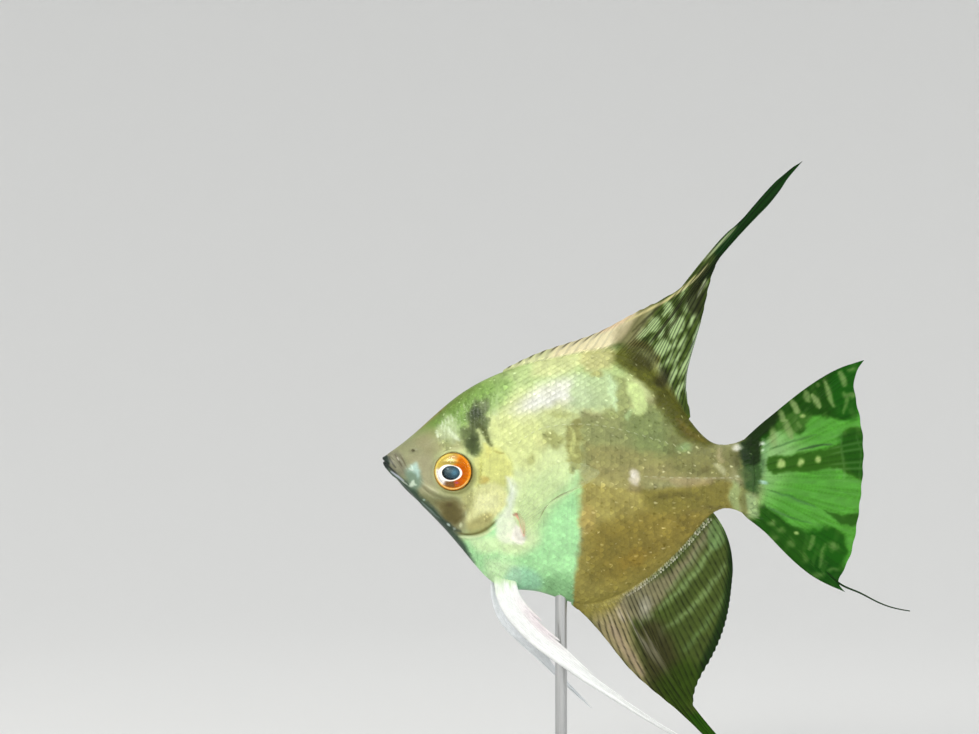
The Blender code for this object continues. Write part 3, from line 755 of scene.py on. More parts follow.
@dataclass(frozen=True)
class Mark:
    """One marking: a cover, its colour, how strongly it hides what is under it, and how silvery it is."""

    colour: Colour
    cover: Cover
    strength: float = 1.0
    silver: float | None = None


PALE_OLIVE = (190, 200, 140)
MINT = (174, 229, 166)
BROWN = (148, 138, 70)
DEEP_BROWN = (130, 114, 46)
OLIVE_GREY = (138, 146, 92)
SNOUT_GREY = (144, 146, 108)
SLATE = (44, 66, 50)
# silvery white of the sheen, with a painted highlight in it
SILVER_AND_PAINTED_HIGHLIGHT = (212, 212, 204)
BLOTCH = (84, 98, 56)
YELLOW_GREEN = (208, 212, 132)
PALE_BLOTCH = (198, 216, 146)

BODY_MARKS = (
    # ground colours
    Mark((176, 196, 132), area(2.5, 0, (24, 26), (60, 34), (62, 22), (44, 18), (30, 16), (20, 12),
         (12, 12))),
    Mark(MINT, area(2.2, 0, (22, -18), (36, -5), (52, -3), (52, -40), (24, -36), (17, -22)), 1, 0.5),
    Mark((212, 226, 168), area(3, 0, (32, 2), (46, 2), (48, -3), (41, -12), (38, -18), (33, -22), (30, -12)),
         0.9),
    Mark((218, 238, 184), area(2, 0, (30, -17), (36, -16.4), (39, -19), (36, -22.4), (29, -22.6)), 0.9),
    Mark((206, 236, 184), area(1.6, 0, (25.6, -24.6), (32, -24.8), (34.6, -28), (32.4, -31.8), (27, -31.4)),
         0.85),
    Mark((150, 206, 186), area(1.2, 0, (32, -26.5), (37, -27), (40, -31), (36, -33), (30, -31)), 0.5),
    Mark((124, 172, 118), area(1.2, 1.2, (40, -29), (46, -28.5), (49, -33), (47, -37), (41, -34)), 0.6),
    Mark((150, 150, 104), area(1, 0.8, (49, 12), (57, 12), (66, 15), (74, 19), (84, 8), (98, 8), (98, -18),
         (84, -20), (49, -44), (49, -20)), 1, 0.12),
    Mark(BROWN, area(0.7, 0.35, (49.4, -5), (60, -7), (80, -5.5), (88, -6), (88, -14), (70, -30), (56, -40),
         (49.6, -40), (49.2, -22)), 1, 0.1),
    Mark(DEEP_BROWN, area(3, 1.5, (52, -16), (62, -14), (74, -12), (81, -14), (74, -22), (64, -29),
         (56, -31), (51.5, -24)), 0.65),
    Mark((180, 170, 98), area(1.8, 1.2, (49.8, -3), (60, -4), (66, -8), (58, -14), (50.2, -16)), 0.6),
    Mark((178, 156, 88), area(0.8, 0.6, (49.6, -11), (52.5, -12), (52.8, -16), (49.8, -18)), 0.55),
    Mark(OLIVE_GREY, area(1.4, 1, (48.8, 11), (58, 11.5), (68, 14), (74, 9), (76, 1), (62, -1), (50, 0)),
         0.8),
    Mark((118, 138, 80), area(2, 1.4, (60, 10), (68, 13), (74, 8), (74, 2), (66, 1)), 0.5),
    Mark((150, 144, 88), area(1.6, 0.8, (50, 4), (62, 3), (76, 1), (86, 0), (86, -4), (70, -5), (52, -3.5)),
         0.7),
    Mark((160, 132, 48), spot(1, 1.2, 62.5, -24.5, 4, 1.6, 20), 0.45),
    Mark((96, 88, 40), spot(1, 1.4, 56, -22, 1.6, 2.6, -20), 0.4),
    Mark((118, 108, 48), spot(1.4, 1.6, 53, -28, 2.4, 3.4), 0.5),
    Mark((112, 98, 42), spot(1, 1.5, 67.6, -20.6, 3.2, 1.3, 40), 0.4),
    Mark((122, 112, 52), spot(1, 1.6, 59.4, -11.6, 3.4, 1.2, -12), 0.35),
    Mark((166, 150, 74), spot(0.9, 1, 70, -17, 3.6, 1.2, 35), 0.4),
    Mark((118, 112, 48), area(1.6, 0.9, (64, -6.2), (74, -6.6), (86, -6.2), (85, -12), (78, -12.6),
         (66, -11.6)), 0.6),
    Mark((116, 118, 68), area(1.8, 0.9, (70, 10), (76, 5.5), (82, 3.6), (87, 3), (86, -3.6), (78, -3.8),
         (72, -3), (71, 4)), 0.65),
    Mark((84, 76, 34), stroke(0.8, 0.8, 0.7, (66, -9.5), (73, -8.4), (80, -8.9)), 0.4),
    Mark((102, 92, 52), stroke(0.6, 0.7, 0.5, (75, -13.6), (80, -11.8), (84.5, -11.4)), 0.4),
    # the pale back, and the white sheen high on the flank: silvery skin with a painted highlight over it
    Mark((214, 214, 156), area(1.2, 0, (37, 21), (47, 22.4), (51, 26.4), (47, 28.6), (38, 26)), 0.6),
    Mark((186, 182, 122), area(1.2, 0.8, (50, 22.6), (57, 23.4), (58, 28), (50, 28.4)), 0.8),
    Mark(SILVER_AND_PAINTED_HIGHLIGHT, area(2.2, 0.7, (32, 12), (36.5, 16.6), (43, 20), (50, 19.6), (52, 14.8), (45, 13.8),
         (38, 11.6), (33, 10)), 0.85, 0.6),
    # painted highlight: a whiter streak through the middle of the sheen
    Mark((224, 226, 224), stroke(1.2, 1, 0.9, (36.5, 13.4), (41, 15.2), (46, 16.2)), 0.4),
    Mark((178, 198, 150), area(1.2, 1.2, (47, 20), (55, 21.6), (58.4, 19), (57.4, 14), (52, 12.4), (47, 13)),
         0.85, 0.6),
    Mark((206, 214, 146), area(1.8, 0, (27, 10), (38, 11), (40, 4), (36, -2), (30, 1), (27.5, 4)), 0.75),
    Mark((214, 224, 190), stroke(0.9, 0, 0.8, (28, 11), (27.6, 14), (29, 17)), 0.5),
    # mottles where the pale flank meets the brown one
    Mark((150, 152, 86), spot(0.9, 1.2, 42.3, 5.2, 2.6, 2, seed=2), 0.62),
    Mark((144, 144, 84), area(0.6, 1.5, (45.4, 9.5), (48.8, 10.5), (49.4, 4), (49.2, -1.5), (47, -2.5),
         (46, 3), seed=4), 0.85),
    Mark((206, 212, 136), stroke(0.3, 0.7, 0.42, (46.4, 8.6), (47.8, 6.2), (46.9, 3.2), (48.3, 0.6)), 0.8),
    Mark((154, 156, 92), spot(0.5, 0.6, 37, 0.4, 0.9, 1.2), 0.45),
    Mark((150, 154, 92), spot(0.6, 0.9, 43.6, 11.6, 2.4, 0.8), 0.5),
    Mark((214, 218, 150), spot(0.7, 0.8, 39.5, 4.6, 1.2, 1.9, 25), 0.5),
    Mark((140, 150, 92), area(0.8, 1, (57.4, 20.6), (60.8, 20.6), (61.6, 14), (59.6, 11.2), (55, 11),
         (57.6, 14.6)), 0.7),
    # brown saddle along the root of the dorsal fin
    Mark((72, 74, 16), area(1.3, 1, (57.4, 26.8), (58.6, 23.6), (61.4, 21.8), (64.6, 19.4), (66.8, 17.2),
         (68.2, 14), (70.8, 10.4), (74.8, 6), (79, 3.8), (83, 4.4), (80, 9), (74, 16), (68, 23), (61, 28.5)),
         0.88, 0.05),
    Mark((56, 56, 20), spot(1.2, 0.7, 64.8, 24.8, 3, 1.9, -24), 0.8),
    Mark((46, 44, 16), spot(0.8, 0.4, 69.6, 19.8, 1.7, 1.8, -45), 0.8),
    Mark((120, 104, 46), stroke(0.7, 0.5, 0.8, (73, 10.6), (76.8, 6.6), (81, 4.6)), 0.5),
    # pale blotches under the saddle
    Mark(PALE_BLOTCH, area(0.45, 0.7, (60.8, 19.8), (63.8, 18.4), (65.6, 15.2), (65.4, 12), (62.6, 11.2),
         (62, 13.6), (61.2, 16.4)), 0.95, 0.3),
    Mark((202, 226, 176), stroke(0.45, 0.8, 0.75, (56.2, 21), (57, 17.6), (57.6, 14.6), (58.4, 12.2)), 0.8,
         0.4),
    Mark((176, 206, 146), spot(0.4, 0.6, 61.2, 11.4, 0.7, 1.5, -25), 0.6),
    Mark((176, 170, 100), spot(0.4, 0.6, 53.2, 21.6, 1.4, 0.8), 0.6),
    Mark((150, 190, 130), spot(0.6, 0.6, 75.2, 3.2, 1.9, 1, 10), 0.5),
    # white spot on the side and the lower lateral line
    Mark((120, 108, 76), spot(0.8, 0.5, 62.6, -6.6, 2, 1.3), 0.5),
    Mark((214, 206, 184), spot(0.5, 0.9, 62.5, -4.1, 1.5, 1.8), 0.9, 0.4),
    Mark((236, 232, 220), spot(0.5, 0.6, 62.3, -3.6, 0.7, 0.9), 0.7, 0.5),
    Mark((178, 168, 128), stroke(0.35, 0.25, 0.3, (65.4, -4), (74, -4.6), (87.5, -4.3)), 0.6),
    Mark((172, 152, 116), stroke(0.8, 0.5, 1, (71, -4.9), (78, -5.4), (83, -5.2)), 0.5),
    # tail stalk: pale patches and the black bar at the root of the tail fin
    Mark((104, 98, 56), spot(0.8, 0.8, 80.5, -2, 1.5, 1.2), 0.5),
    Mark((190, 190, 146), stroke(0.5, 0.6, 0.7, (82.6, -0.6), (84, -2.2), (85.4, -4)), 0.8),
    Mark((188, 176, 134), stroke(0.6, 0.6, 0.6, (84.2, 3.2), (83.9, 1.2), (84.6, -1)), 0.6),
    Mark((158, 178, 120), area(0.5, 0.6, (87.2, -4.8), (88.4, -5.8), (88.9, -11), (88.5, -13.2),
         (87.5, -12.4)), 0.8),
    Mark((112, 118, 62), area(0.7, 0.6, (89.3, -5.4), (91, -7.4), (91.2, -12), (90.4, -14.4), (89.2, -12)),
         0.7),
    Mark((82, 84, 40), area(1.2, 1, (86.8, 2), (89, 5), (92, 1), (91, -5), (88.6, -3.4), (87.6, -1)), 0.75),
    Mark((48, 82, 34), area(0.9, 0.8, (89.9, 1), (94.6, 1.4), (94.6, -6.4), (93.6, -8.6), (90.8, -7.4),
         (89.9, -4)), 0.9, 0.05),
    Mark((20, 42, 4), area(0.8, 0.8, (89.3, 4.6), (91.4, 7.4), (98, 13), (97.4, 8), (94.6, 5.6), (94.2, 0.4),
         (92.6, -1.6), (89.6, 0.4)), 0.95, 0.05),
    Mark((98, 116, 66), area(0.6, 0.7, (88.6, -1.6), (90.4, -2.2), (92, -4.2), (91.2, -5.4), (89, -4.4)),
         0.5),
    Mark((150, 176, 122), area(0.6, 0.6, (90.7, -8.4), (92.4, -8.8), (93.6, -11.4), (93.4, -14.4),
         (91.6, -13.4), (90.9, -11)), 0.85),
    Mark((232, 232, 220), spot(0.5, 0.5, 88.6, 3.1, 1.2, 0.75, 15), 0.85, 0.5),
    # painted glint: a small white dot on the tail stalk
    Mark((214, 220, 190), spot(0.2, 0.2, 88.3, -4, 0.35, 0.3), 0.8),
)
"""Markings of trunk and tail stalk, from the ground colours up."""

HEAD_MARKS = (
    Mark((112, 142, 68), area(2, 0, (-2, 4), (22, 21), (27, 18), (20, 9), (12, 4), (4, -1))),
    Mark((106, 126, 58), stroke(1.2, 0, 1.5, (4, 4.6), (12, 10.8), (20, 17), (28, 21.6), (36, 24.4)), 0.6),
    Mark(SNOUT_GREY, area(2.6, 0, (-2, 3), (6, 6.5), (12, 7), (13.5, 1), (13, -5), (17, -9), (23, -9),
         (21, -17), (14, -20), (2, -8))),
    Mark((166, 160, 128), area(1.6, 0, (6.5, 1), (12.5, 1), (13.2, -4), (14, -7), (11, -8), (8, -5)), 0.6),
    Mark((114, 116, 78), area(1.2, 0.5, (9, -8.4), (14, -8.2), (18, -9), (19, -11), (16, -11.4),
         (12, -11.5)), 0.85),
    Mark((178, 178, 118), area(1, 0.6, (18.6, -7.6), (22.6, -7.4), (22.8, -11.6), (20.4, -12.4),
         (19.4, -9.6)), 0.8),
    # painted highlights: pale streaks on the wet folds under the eye, with a dark stroke among them
    Mark((176, 178, 132), stroke(0.5, 0.4, 0.5, (10.6, -5.8), (13.4, -7.3), (17.8, -8.5)), 0.6),
    Mark((200, 200, 164), stroke(0.3, 0.3, 0.24, (9.2, -4.6), (11.4, -6.6), (14.2, -8)), 0.65),
    Mark((172, 174, 136), stroke(0.3, 0.3, 0.2, (10.4, -7.4), (12.4, -8.6), (14.6, -9.4)), 0.5),
    Mark((120, 118, 82), stroke(0.3, 0.3, 0.24, (9.8, -6), (12.4, -8.3), (15.2, -9.1)), 0.5),
    Mark((148, 116, 62), stroke(0.35, 0, 0.35, (7, 6.2), (11.4, 9.9), (16, 13.8)), 0.5),
    Mark((130, 164, 86), area(1.8, 0, (14, 9), (20.5, 15), (26, 20), (32, 20), (30, 14), (22, 9), (16, 4)),
         0.75, 0.3),
    Mark((148, 140, 100), area(1.4, 0.5, (8, 4.6), (14, 8.4), (17.6, 7.2), (19.4, 3.2), (16, 2.6),
         (12, 1.4)), 0.45),
    Mark((206, 218, 180), area(1.2, 1.2, (13.4, 9.4), (17.5, 10.8), (19.8, 8.2), (18.4, 5.2), (14.8, 5)),
         0.6, 0.4),
    Mark((222, 234, 200), stroke(0.3, 0.4, 0.4, (13.4, 7.8), (13.8, 5.8)), 0.7),
    Mark((220, 232, 200), stroke(0.5, 0.6, 0.5, (16.4, 8.6), (17.4, 6.4), (19.4, 5.2)), 0.7),
    Mark((218, 230, 198), stroke(0.2, 0.3, 0.2, (14.7, 10.2), (14.8, 7.4)), 0.75),
    Mark((214, 228, 194), stroke(0.2, 0.3, 0.18, (15.6, 10.4), (15.5, 6.4)), 0.65),
    Mark((216, 228, 196), stroke(0.2, 0.3, 0.18, (17.2, 11.6), (17.4, 9.6)), 0.6),
    Mark((206, 220, 180), stroke(0.2, 0.3, 0.16, (18.6, 12.6), (18.9, 10.6)), 0.55),
    Mark((204, 218, 176), stroke(0.2, 0.3, 0.16, (20.2, 14.4), (20.4, 12.8)), 0.5),
    Mark((214, 226, 192), stroke(0.25, 0.3, 0.2, (16.2, 11.2), (16.5, 9.2)), 0.6),
    Mark(YELLOW_GREEN, area(0.9, 0.5, (23.4, 2.2), (27.2, 3.8), (31.4, 1.2), (32.2, -3.2), (29.6, -6.4),
         (25.4, -5.8), (23.4, -2.6)), 1, 0.2),
    Mark((218, 220, 158), area(0.9, 0.4, (22.8, -6.5), (29.6, -6), (31.4, -9), (29, -13.4), (25.4, -16.6),
         (21.4, -17.2), (20.4, -14.6), (22.2, -10.6)), 1, 0.3),
    Mark((232, 234, 182), area(1.2, 0.8, (23.6, -8.5), (28.4, -8.6), (28, -12), (24.6, -13), (22.6, -11)),
         0.6),
    Mark((184, 164, 86), area(0.4, 0.3, (24.2, -3.4), (26.8, -4.6), (25.4, -5.6), (23.8, -5.2)), 0.7),
    Mark((208, 210, 132), stroke(0.8, 0, 1, (22.8, 1), (23.9, -2.6), (23, -6.6)), 0.7),
    Mark((216, 214, 126), stroke(0.5, 0.5, 0.7, (25.2, 4.6), (26.4, 2.6), (26, 0.6)), 0.6),
    # dark patch low on the cheek, and the dark line of the throat
    Mark((118, 108, 64), area(1.4, 0.8, (13.6, -10.4), (17.6, -9.8), (19.8, -11.6), (19.6, -14.8),
         (17.2, -16.4), (14.6, -13.6)), 0.8),
    Mark((88, 80, 40), area(1.1, 0.8, (15.4, -10.8), (17.8, -10.6), (18.8, -13), (18.4, -15), (16.8, -15.4),
         (15.2, -13)), 0.75),
    Mark((76, 64, 34), spot(0.4, 0.4, 16.6, -10.9, 0.7, 0.45), 0.7),
    Mark((186, 184, 128), stroke(0.4, 0.5, 0.3, (20, -11.6), (20.8, -12.8), (21.6, -13.4)), 0.6),
    Mark((196, 192, 134), stroke(0.3, 0.3, 0.2, (21.2, -11.4), (22.2, -13.2), (21.8, -15)), 0.5),
    Mark((58, 66, 50), stroke(0.4, 0.3, 0.6, (14.8, -14.6), (17.2, -16.8), (19.8, -17.6)), 0.8),
    Mark(SLATE, stroke(0.8, 0.5, 1.5, (-1.6, 0.2), (3.6, -4.8), (8.6, -9.8), (13.4, -14.6), (18, -19.8),
         (23, -26.4)), 0.92, 0.1),
    # painted glints: small pale spots and a pale line along the jaw's lower edge and on the gill region
    Mark((178, 204, 190), spot(0.15, 0.2, 10.3, -9.7, 0.3, 0.22), 0.8),
    Mark((176, 190, 190), stroke(0.2, 0.3, 0.22, (9.6, -9.9), (12.4, -13), (14.4, -14.6)), 0.4),
    Mark((214, 230, 222), spot(0.18, 0.2, 16.4, -16.1, 0.42, 0.3, -35), 0.9),
    Mark((196, 216, 204), spot(0.16, 0.2, 17.9, -16.9, 0.36, 0.24), 0.7),
    Mark((208, 214, 172), spot(0.2, 0.2, 19.4, -16, 0.4, 0.55), 0.8),
    Mark((202, 208, 160), spot(0.2, 0.3, 20.6, -13.2, 0.3, 0.7), 0.6),
    # lower edge of the gill cover
    Mark((226, 240, 190), stroke(0.25, 0, 0.34, (18.6, -18.9), (22, -19), (25.6, -18), (28.6, -15.8)), 0.85),
    Mark((96, 92, 42), stroke(0.28, 0, 0.34, (18.6, -18), (21.8, -18.3), (25.4, -17.1), (28.6, -14.4)),
         0.85),
    Mark((142, 134, 76), area(1, 0.5, (20.6, -15.6), (27.4, -13.4), (26.8, -16.4), (21.6, -18.1)), 0.6),
    Mark((216, 236, 182), area(1.3, 0, (21, -19.2), (26, -18.6), (30, -19.4), (28.5, -22.4), (23.5, -22.4)),
         0.75),
    # the eye bar, broken into blotches
    Mark(BLOTCH, area(0.8, 1.3, (26.4, 16.2), (24.6, 14.8), (21.8, 13.6), (21.4, 11.2), (22.8, 8.4),
         (24.8, 7.6), (26.4, 11), (26.8, 13.6)), 0.88),
    Mark((150, 164, 118), stroke(0.4, 0.6, 0.3, (24.7, 15.4), (24.5, 13.4), (24, 11.4)), 0.6),
    Mark((140, 156, 112), stroke(0.3, 0.5, 0.22, (22.6, 13.4), (22.3, 11.6)), 0.5),
    Mark((124, 136, 100), spot(0.6, 0.7, 25.6, 13.2, 0.9, 1.8), 0.5),
    Mark((56, 68, 42), spot(0.7, 0.8, 23.4, 11.7, 1.5, 1.5), 0.85),
    Mark(BLOTCH, area(0.8, 1, (20.8, 8.2), (23.4, 7.4), (24.4, 4.4), (23.6, 1.5), (21.6, 1.6), (19.8, 3.6),
         (19.6, 6.4)), 0.88),
    Mark((60, 72, 38), spot(0.8, 0.8, 22.2, 4.2, 1.5, 1.9), 0.8),
    Mark((80, 92, 52), stroke(0.7, 0.7, 1, (23.8, 11), (23.2, 9), (22.4, 6.8)), 0.8),
    Mark((214, 222, 164), stroke(0.3, 0.5, 0.14, (23.9, 8), (24.6, 6), (24.5, 3.6)), 0.6),
    Mark((76, 84, 38), stroke(0.4, 0.4, 0.48, (23.8, 9.2), (25.3, 7.4), (26.3, 5.4), (27.3, 3.4)), 0.85),
    Mark((150, 144, 70), stroke(0.2, 0.2, 0.22, (27.6, 2.4), (29, 2.1), (30.6, 2)), 0.7),
    # white gill membrane and the pink root of the pectoral fin
    Mark((230, 238, 222), stroke(0.9, 0.7, 0.9, (30.4, -3.6), (32.2, -6), (32.2, -9), (30.6, -14)), 0.85,
         0.3),
    Mark((232, 240, 214), area(0.7, 0.5, (30.4, -11.6), (32.4, -12.4), (33.2, -16.4), (34.8, -19.8),
         (32, -20.6), (28.4, -18.4), (28, -15.6)), 0.85, 0.4),
    Mark((246, 242, 230), area(0.4, 0.3, (33, -15.6), (35.2, -17.6), (35, -20.4), (32.4, -19.6)), 0.9, 0.3),
    Mark((236, 172, 150), stroke(0.3, 0.2, 0.5, (33, -13), (34.4, -14.6), (35, -17), (35.1, -18.8)), 0.9),
    Mark((164, 100, 84), stroke(0.22, 0, 0.3, (32.3, -13.4), (33.6, -13.1), (34.4, -14.4)), 0.8),
    # snout: painted bluish glints, lips and their folds, a painted highlight along the lower lip, nostril
    Mark((124, 122, 102), area(0.8, 0, (0.6, 1.9), (3.8, 2.2), (5.6, -0.4), (5.8, -3.6), (3.2, -3.4),
         (1.4, -1.6)), 0.75),
    Mark((108, 138, 120), area(0.9, 0.4, (5.8, -2.4), (9.2, -2.8), (9.8, -5.4), (8.4, -7.2), (6.2, -5.6)),
         0.75),
    Mark((182, 214, 204), area(0.9, 0.7, (6.5, -0.9), (8.4, -0.4), (9.2, -1.8), (8.9, -4), (7.6, -3),
         (6.4, -2.2)), 0.85, 0.4),
    Mark((226, 242, 226), stroke(0.2, 0.3, 0.2, (6.4, -1.9), (7.4, -2.4), (7, -1)), 0.6),
    Mark((222, 236, 214), area(0.28, 0.5, (6.3, -6.3), (6.7, -5.4), (7.5, -4.8), (7.8, -5.6), (8.5, -6.1),
         (7.4, -6.2)), 0.8, 0.5),
    Mark((118, 114, 86), spot(0.5, 0.3, 7.7, 2.5, 0.9, 0.5), 0.5),
    Mark((84, 80, 58), spot(0.25, 0, 7.6, 2.5, 0.3, 0.24), 0.7),
    Mark((26, 40, 34), area(0.4, 0.3, (-1.5, 1.5), (0.9, 1.1), (1.7, -0.4), (1.6, -1.6), (1, -2.6),
         (-1.5, -1.6)), 0.93, 0.05),
    Mark((62, 62, 54), stroke(0.22, 0.1, 0.2, (1.4, 1.1), (2.3, -0.6), (3.4, -2)), 0.8),
    Mark((150, 148, 126), stroke(0.2, 0.1, 0.18, (2.2, 1.3), (3, 0.1), (4, -1.4)), 0.7),
    Mark((74, 68, 54), stroke(0.2, 0.1, 0.18, (2.9, 1.6), (3.9, 0.1), (4.9, -1.6)), 0.75),
    Mark((210, 206, 186), stroke(0.12, 0, 0.12, (3.5, 0.9), (4.1, -0.1)), 0.8),
    Mark((96, 86, 66), stroke(0.2, 0.1, 0.14, (4.1, 1.7), (5, 0.4), (5.8, -1.4)), 0.55),
    # painted highlight: a pale lilac line along the lower lip and jaw, ending in a whiter glint
    Mark((188, 192, 206), stroke(0.25, 0.15, 0.3, (1.9, -2.7), (3.8, -4.1), (5.4, -5.2)), 0.85, 0.3),
    Mark((214, 220, 204), stroke(0.18, 0.15, 0.16, (4.6, -5), (5.6, -5.7), (6.2, -6.2)), 0.8),
    Mark((28, 34, 32), stroke(0.18, 0, 0.22, (-0.8, 0.4), (0.9, -1.1), (2.3, -2.4), (3.7, -3.6)), 0.9),
    # painted shade round the orbit: a dark ring where the lid and the socket's edge shadow the skin, widest
    # at the lower right
    Mark((116, 116, 66), spot(0.6, 0, 18.2, -3.3, 5.1, 5.1), 0.6, 0.05),
    Mark((118, 108, 56), spot(0.25, 0, 17.9, -2.8, 4.72, 4.72), 0.7),
)
"""Markings of the head, from the ground colours up."""


def blend(paint: Array, colour: Colour | Array, share: Array | float) -> None:
    """Draws the colours of paint towards one colour, or towards each place's own, by a share."""
    paint[..., :3] += np.asarray(share)[..., None] * (np.asarray(colour) - paint[..., :3])


def ground(x: Array, colour: Colour, share: float) -> Array:
    """One colour and one fourth share 0..1 at every place."""
    return np.broadcast_to(np.array([*colour, share]), (*x.shape, 4)).copy()


def layered(x: Array, z: Array, paint: Array, marks: tuple[Mark, ...]) -> Array:
    """Lays marks over colours, each by its cover times its strength; its silver goes to the fourth share."""
    for mark in marks:
        share = mark.strength * mark.cover.share(x, z)
        blend(paint, mark.colour, share)
        if mark.silver is not None:
            paint[..., 3] += share * (mark.silver - paint[..., 3])
    return paint


@dataclass(frozen=True)
class Markings:
    """All the fish's markings, read at any place of a side."""

    marks: tuple[Mark, ...]

    def paint(self, x: Array, z: Array, side: int) -> Array:
        """Display colours and the silver share at places of one side.

        The marks lie over a pale ground, and noise then sways the whole lightness. The right side reads its
        marks and its noise elsewhere, so that the two sides differ a little.

        Args:
            x, z: places.
            side: -1 for the left side, 1 for the right.
        Returns:
            Red, green and blue 0..255 and silver 0..1, one row for each place.
        """
        x, z = np.ravel(x).astype(float), np.ravel(z).astype(float)
        shift = 0.22 * cloud(x, z, 3.0, 40 + side) * (side > 0)
        paint = layered(x + shift, z + shift, ground(x, PALE_OLIVE, 0.35), self.marks)
        calm = 0.35 + 0.65 * ease(x, 12, 30)
        streaks = noise(1.5 * x + 0.7 * z + 1.6 * cloud(x, z, 2.2, 7), z - 0.4 * x, 1.0, 31 + side)
        fine = 0.075 * cloud(x, z, 1.5, 21 + side) + 0.035 * streaks
        tint = 1 + 0.04 * cloud(x, z, 5.0, 11 + side) + calm * fine
        paint[:, :3] *= tint[:, None]
        return paint


MARKINGS = Markings(BODY_MARKS + HEAD_MARKS)


@dataclass
class Skin:
    """The one seamless skin over head, jaw, gill covers, trunk and tail stalk."""

    form: BodyForm
    finish: bpy.types.Material
    head_rings: int = 190
    body_rings: int = 110
    head_length: float = 34.0
    stalk_start: float = 80.0
    side_points: int = 158
    nodes: tuple[str, ...] = ("head", "lower_jaw", "gill_cover_left", "gill_cover_right",
                              "trunk", "tail_stalk")

    def side_grid(self) -> tuple[Array, Array]:
        """Places of the right side's points before the relief.

        Rings stand close together on the head. Behind stalk_start they bow, so that the last follows the
        curved root of the tail fin. Heights are mostly even, and closer towards the edges.

        Returns:
            x of each point, and its height share.
        """
        fine = self.head_length * np.linspace(0, 1, self.head_rings) ** 1.25
        rest = np.linspace(self.head_length, self.form.end_middle, self.body_rings + 1)[1:]
        x = np.concatenate([fine, rest])[:, None]
        turn = np.linspace(0, np.pi, self.side_points)[None, :]
        share = 0.72 * (1 - 2 * turn / np.pi) + 0.28 * np.cos(turn)
        back = np.clip((x - self.stalk_start) / (self.form.end_middle - self.stalk_start), 0, 1)
        bow = (self.form.end_middle - self.form.end_corner) * share ** 2
        return x - bow * back, share + 0 * x

    def build(self) -> None:
        """The skin: the form's side, pushed out by the relief, mirrored and closed at both ends."""
        x, share = self.side_grid()
        plain = self.form.point(x, share)
        normal = np.cross(np.gradient(plain, axis=0), np.gradient(plain, axis=1))
        normal /= np.maximum(np.linalg.norm(normal, axis=-1, keepdims=True), 1e-9)
        normal *= np.where(normal[:, self.side_points // 2, 1] < 0, -1, 1)[:, None, None]
        right = plain + normal * rise(plain[..., 0], plain[..., 2])[..., None]
        right[:, [0, -1], 1] = 0
        left = right[:, -2:0:-1] * (1, -1, 1)
        rings = np.concatenate([right, left], axis=1)
        count, around = rings.shape[:2]
        half = self.side_points
        quads = [grid_quads(count, around, closed=True)]
        opposite = np.concatenate([[0], np.arange(around - 1, half - 1, -1), [half - 1]])
        for first in (0, (count - 1) * around):
            near, far = first + np.arange(half), first + opposite
            quads.append(np.column_stack([near[1:-2], near[2:-1], far[2:-1], far[1:-2]]))
        caps = np.array([(f + a, f + b, f + c) for f in (0, (count - 1) * around)
                         for a, b, c in ((0, 1, around - 1), (half - 1, half - 2, half))])
        paint = np.concatenate([MARKINGS.paint(part[..., 0], part[..., 2], side).reshape(*part.shape[:2], 4)
                                for part, side in ((right, 1), (left, -1))], axis=1)
        piece = make_piece("skin", rings.reshape(-1, 3), np.concatenate(quads), caps, paint.reshape(-1, 4))
        settle(piece, self.finish, "skin", *self.nodes)


# ------------------------------------------------------------------ scales

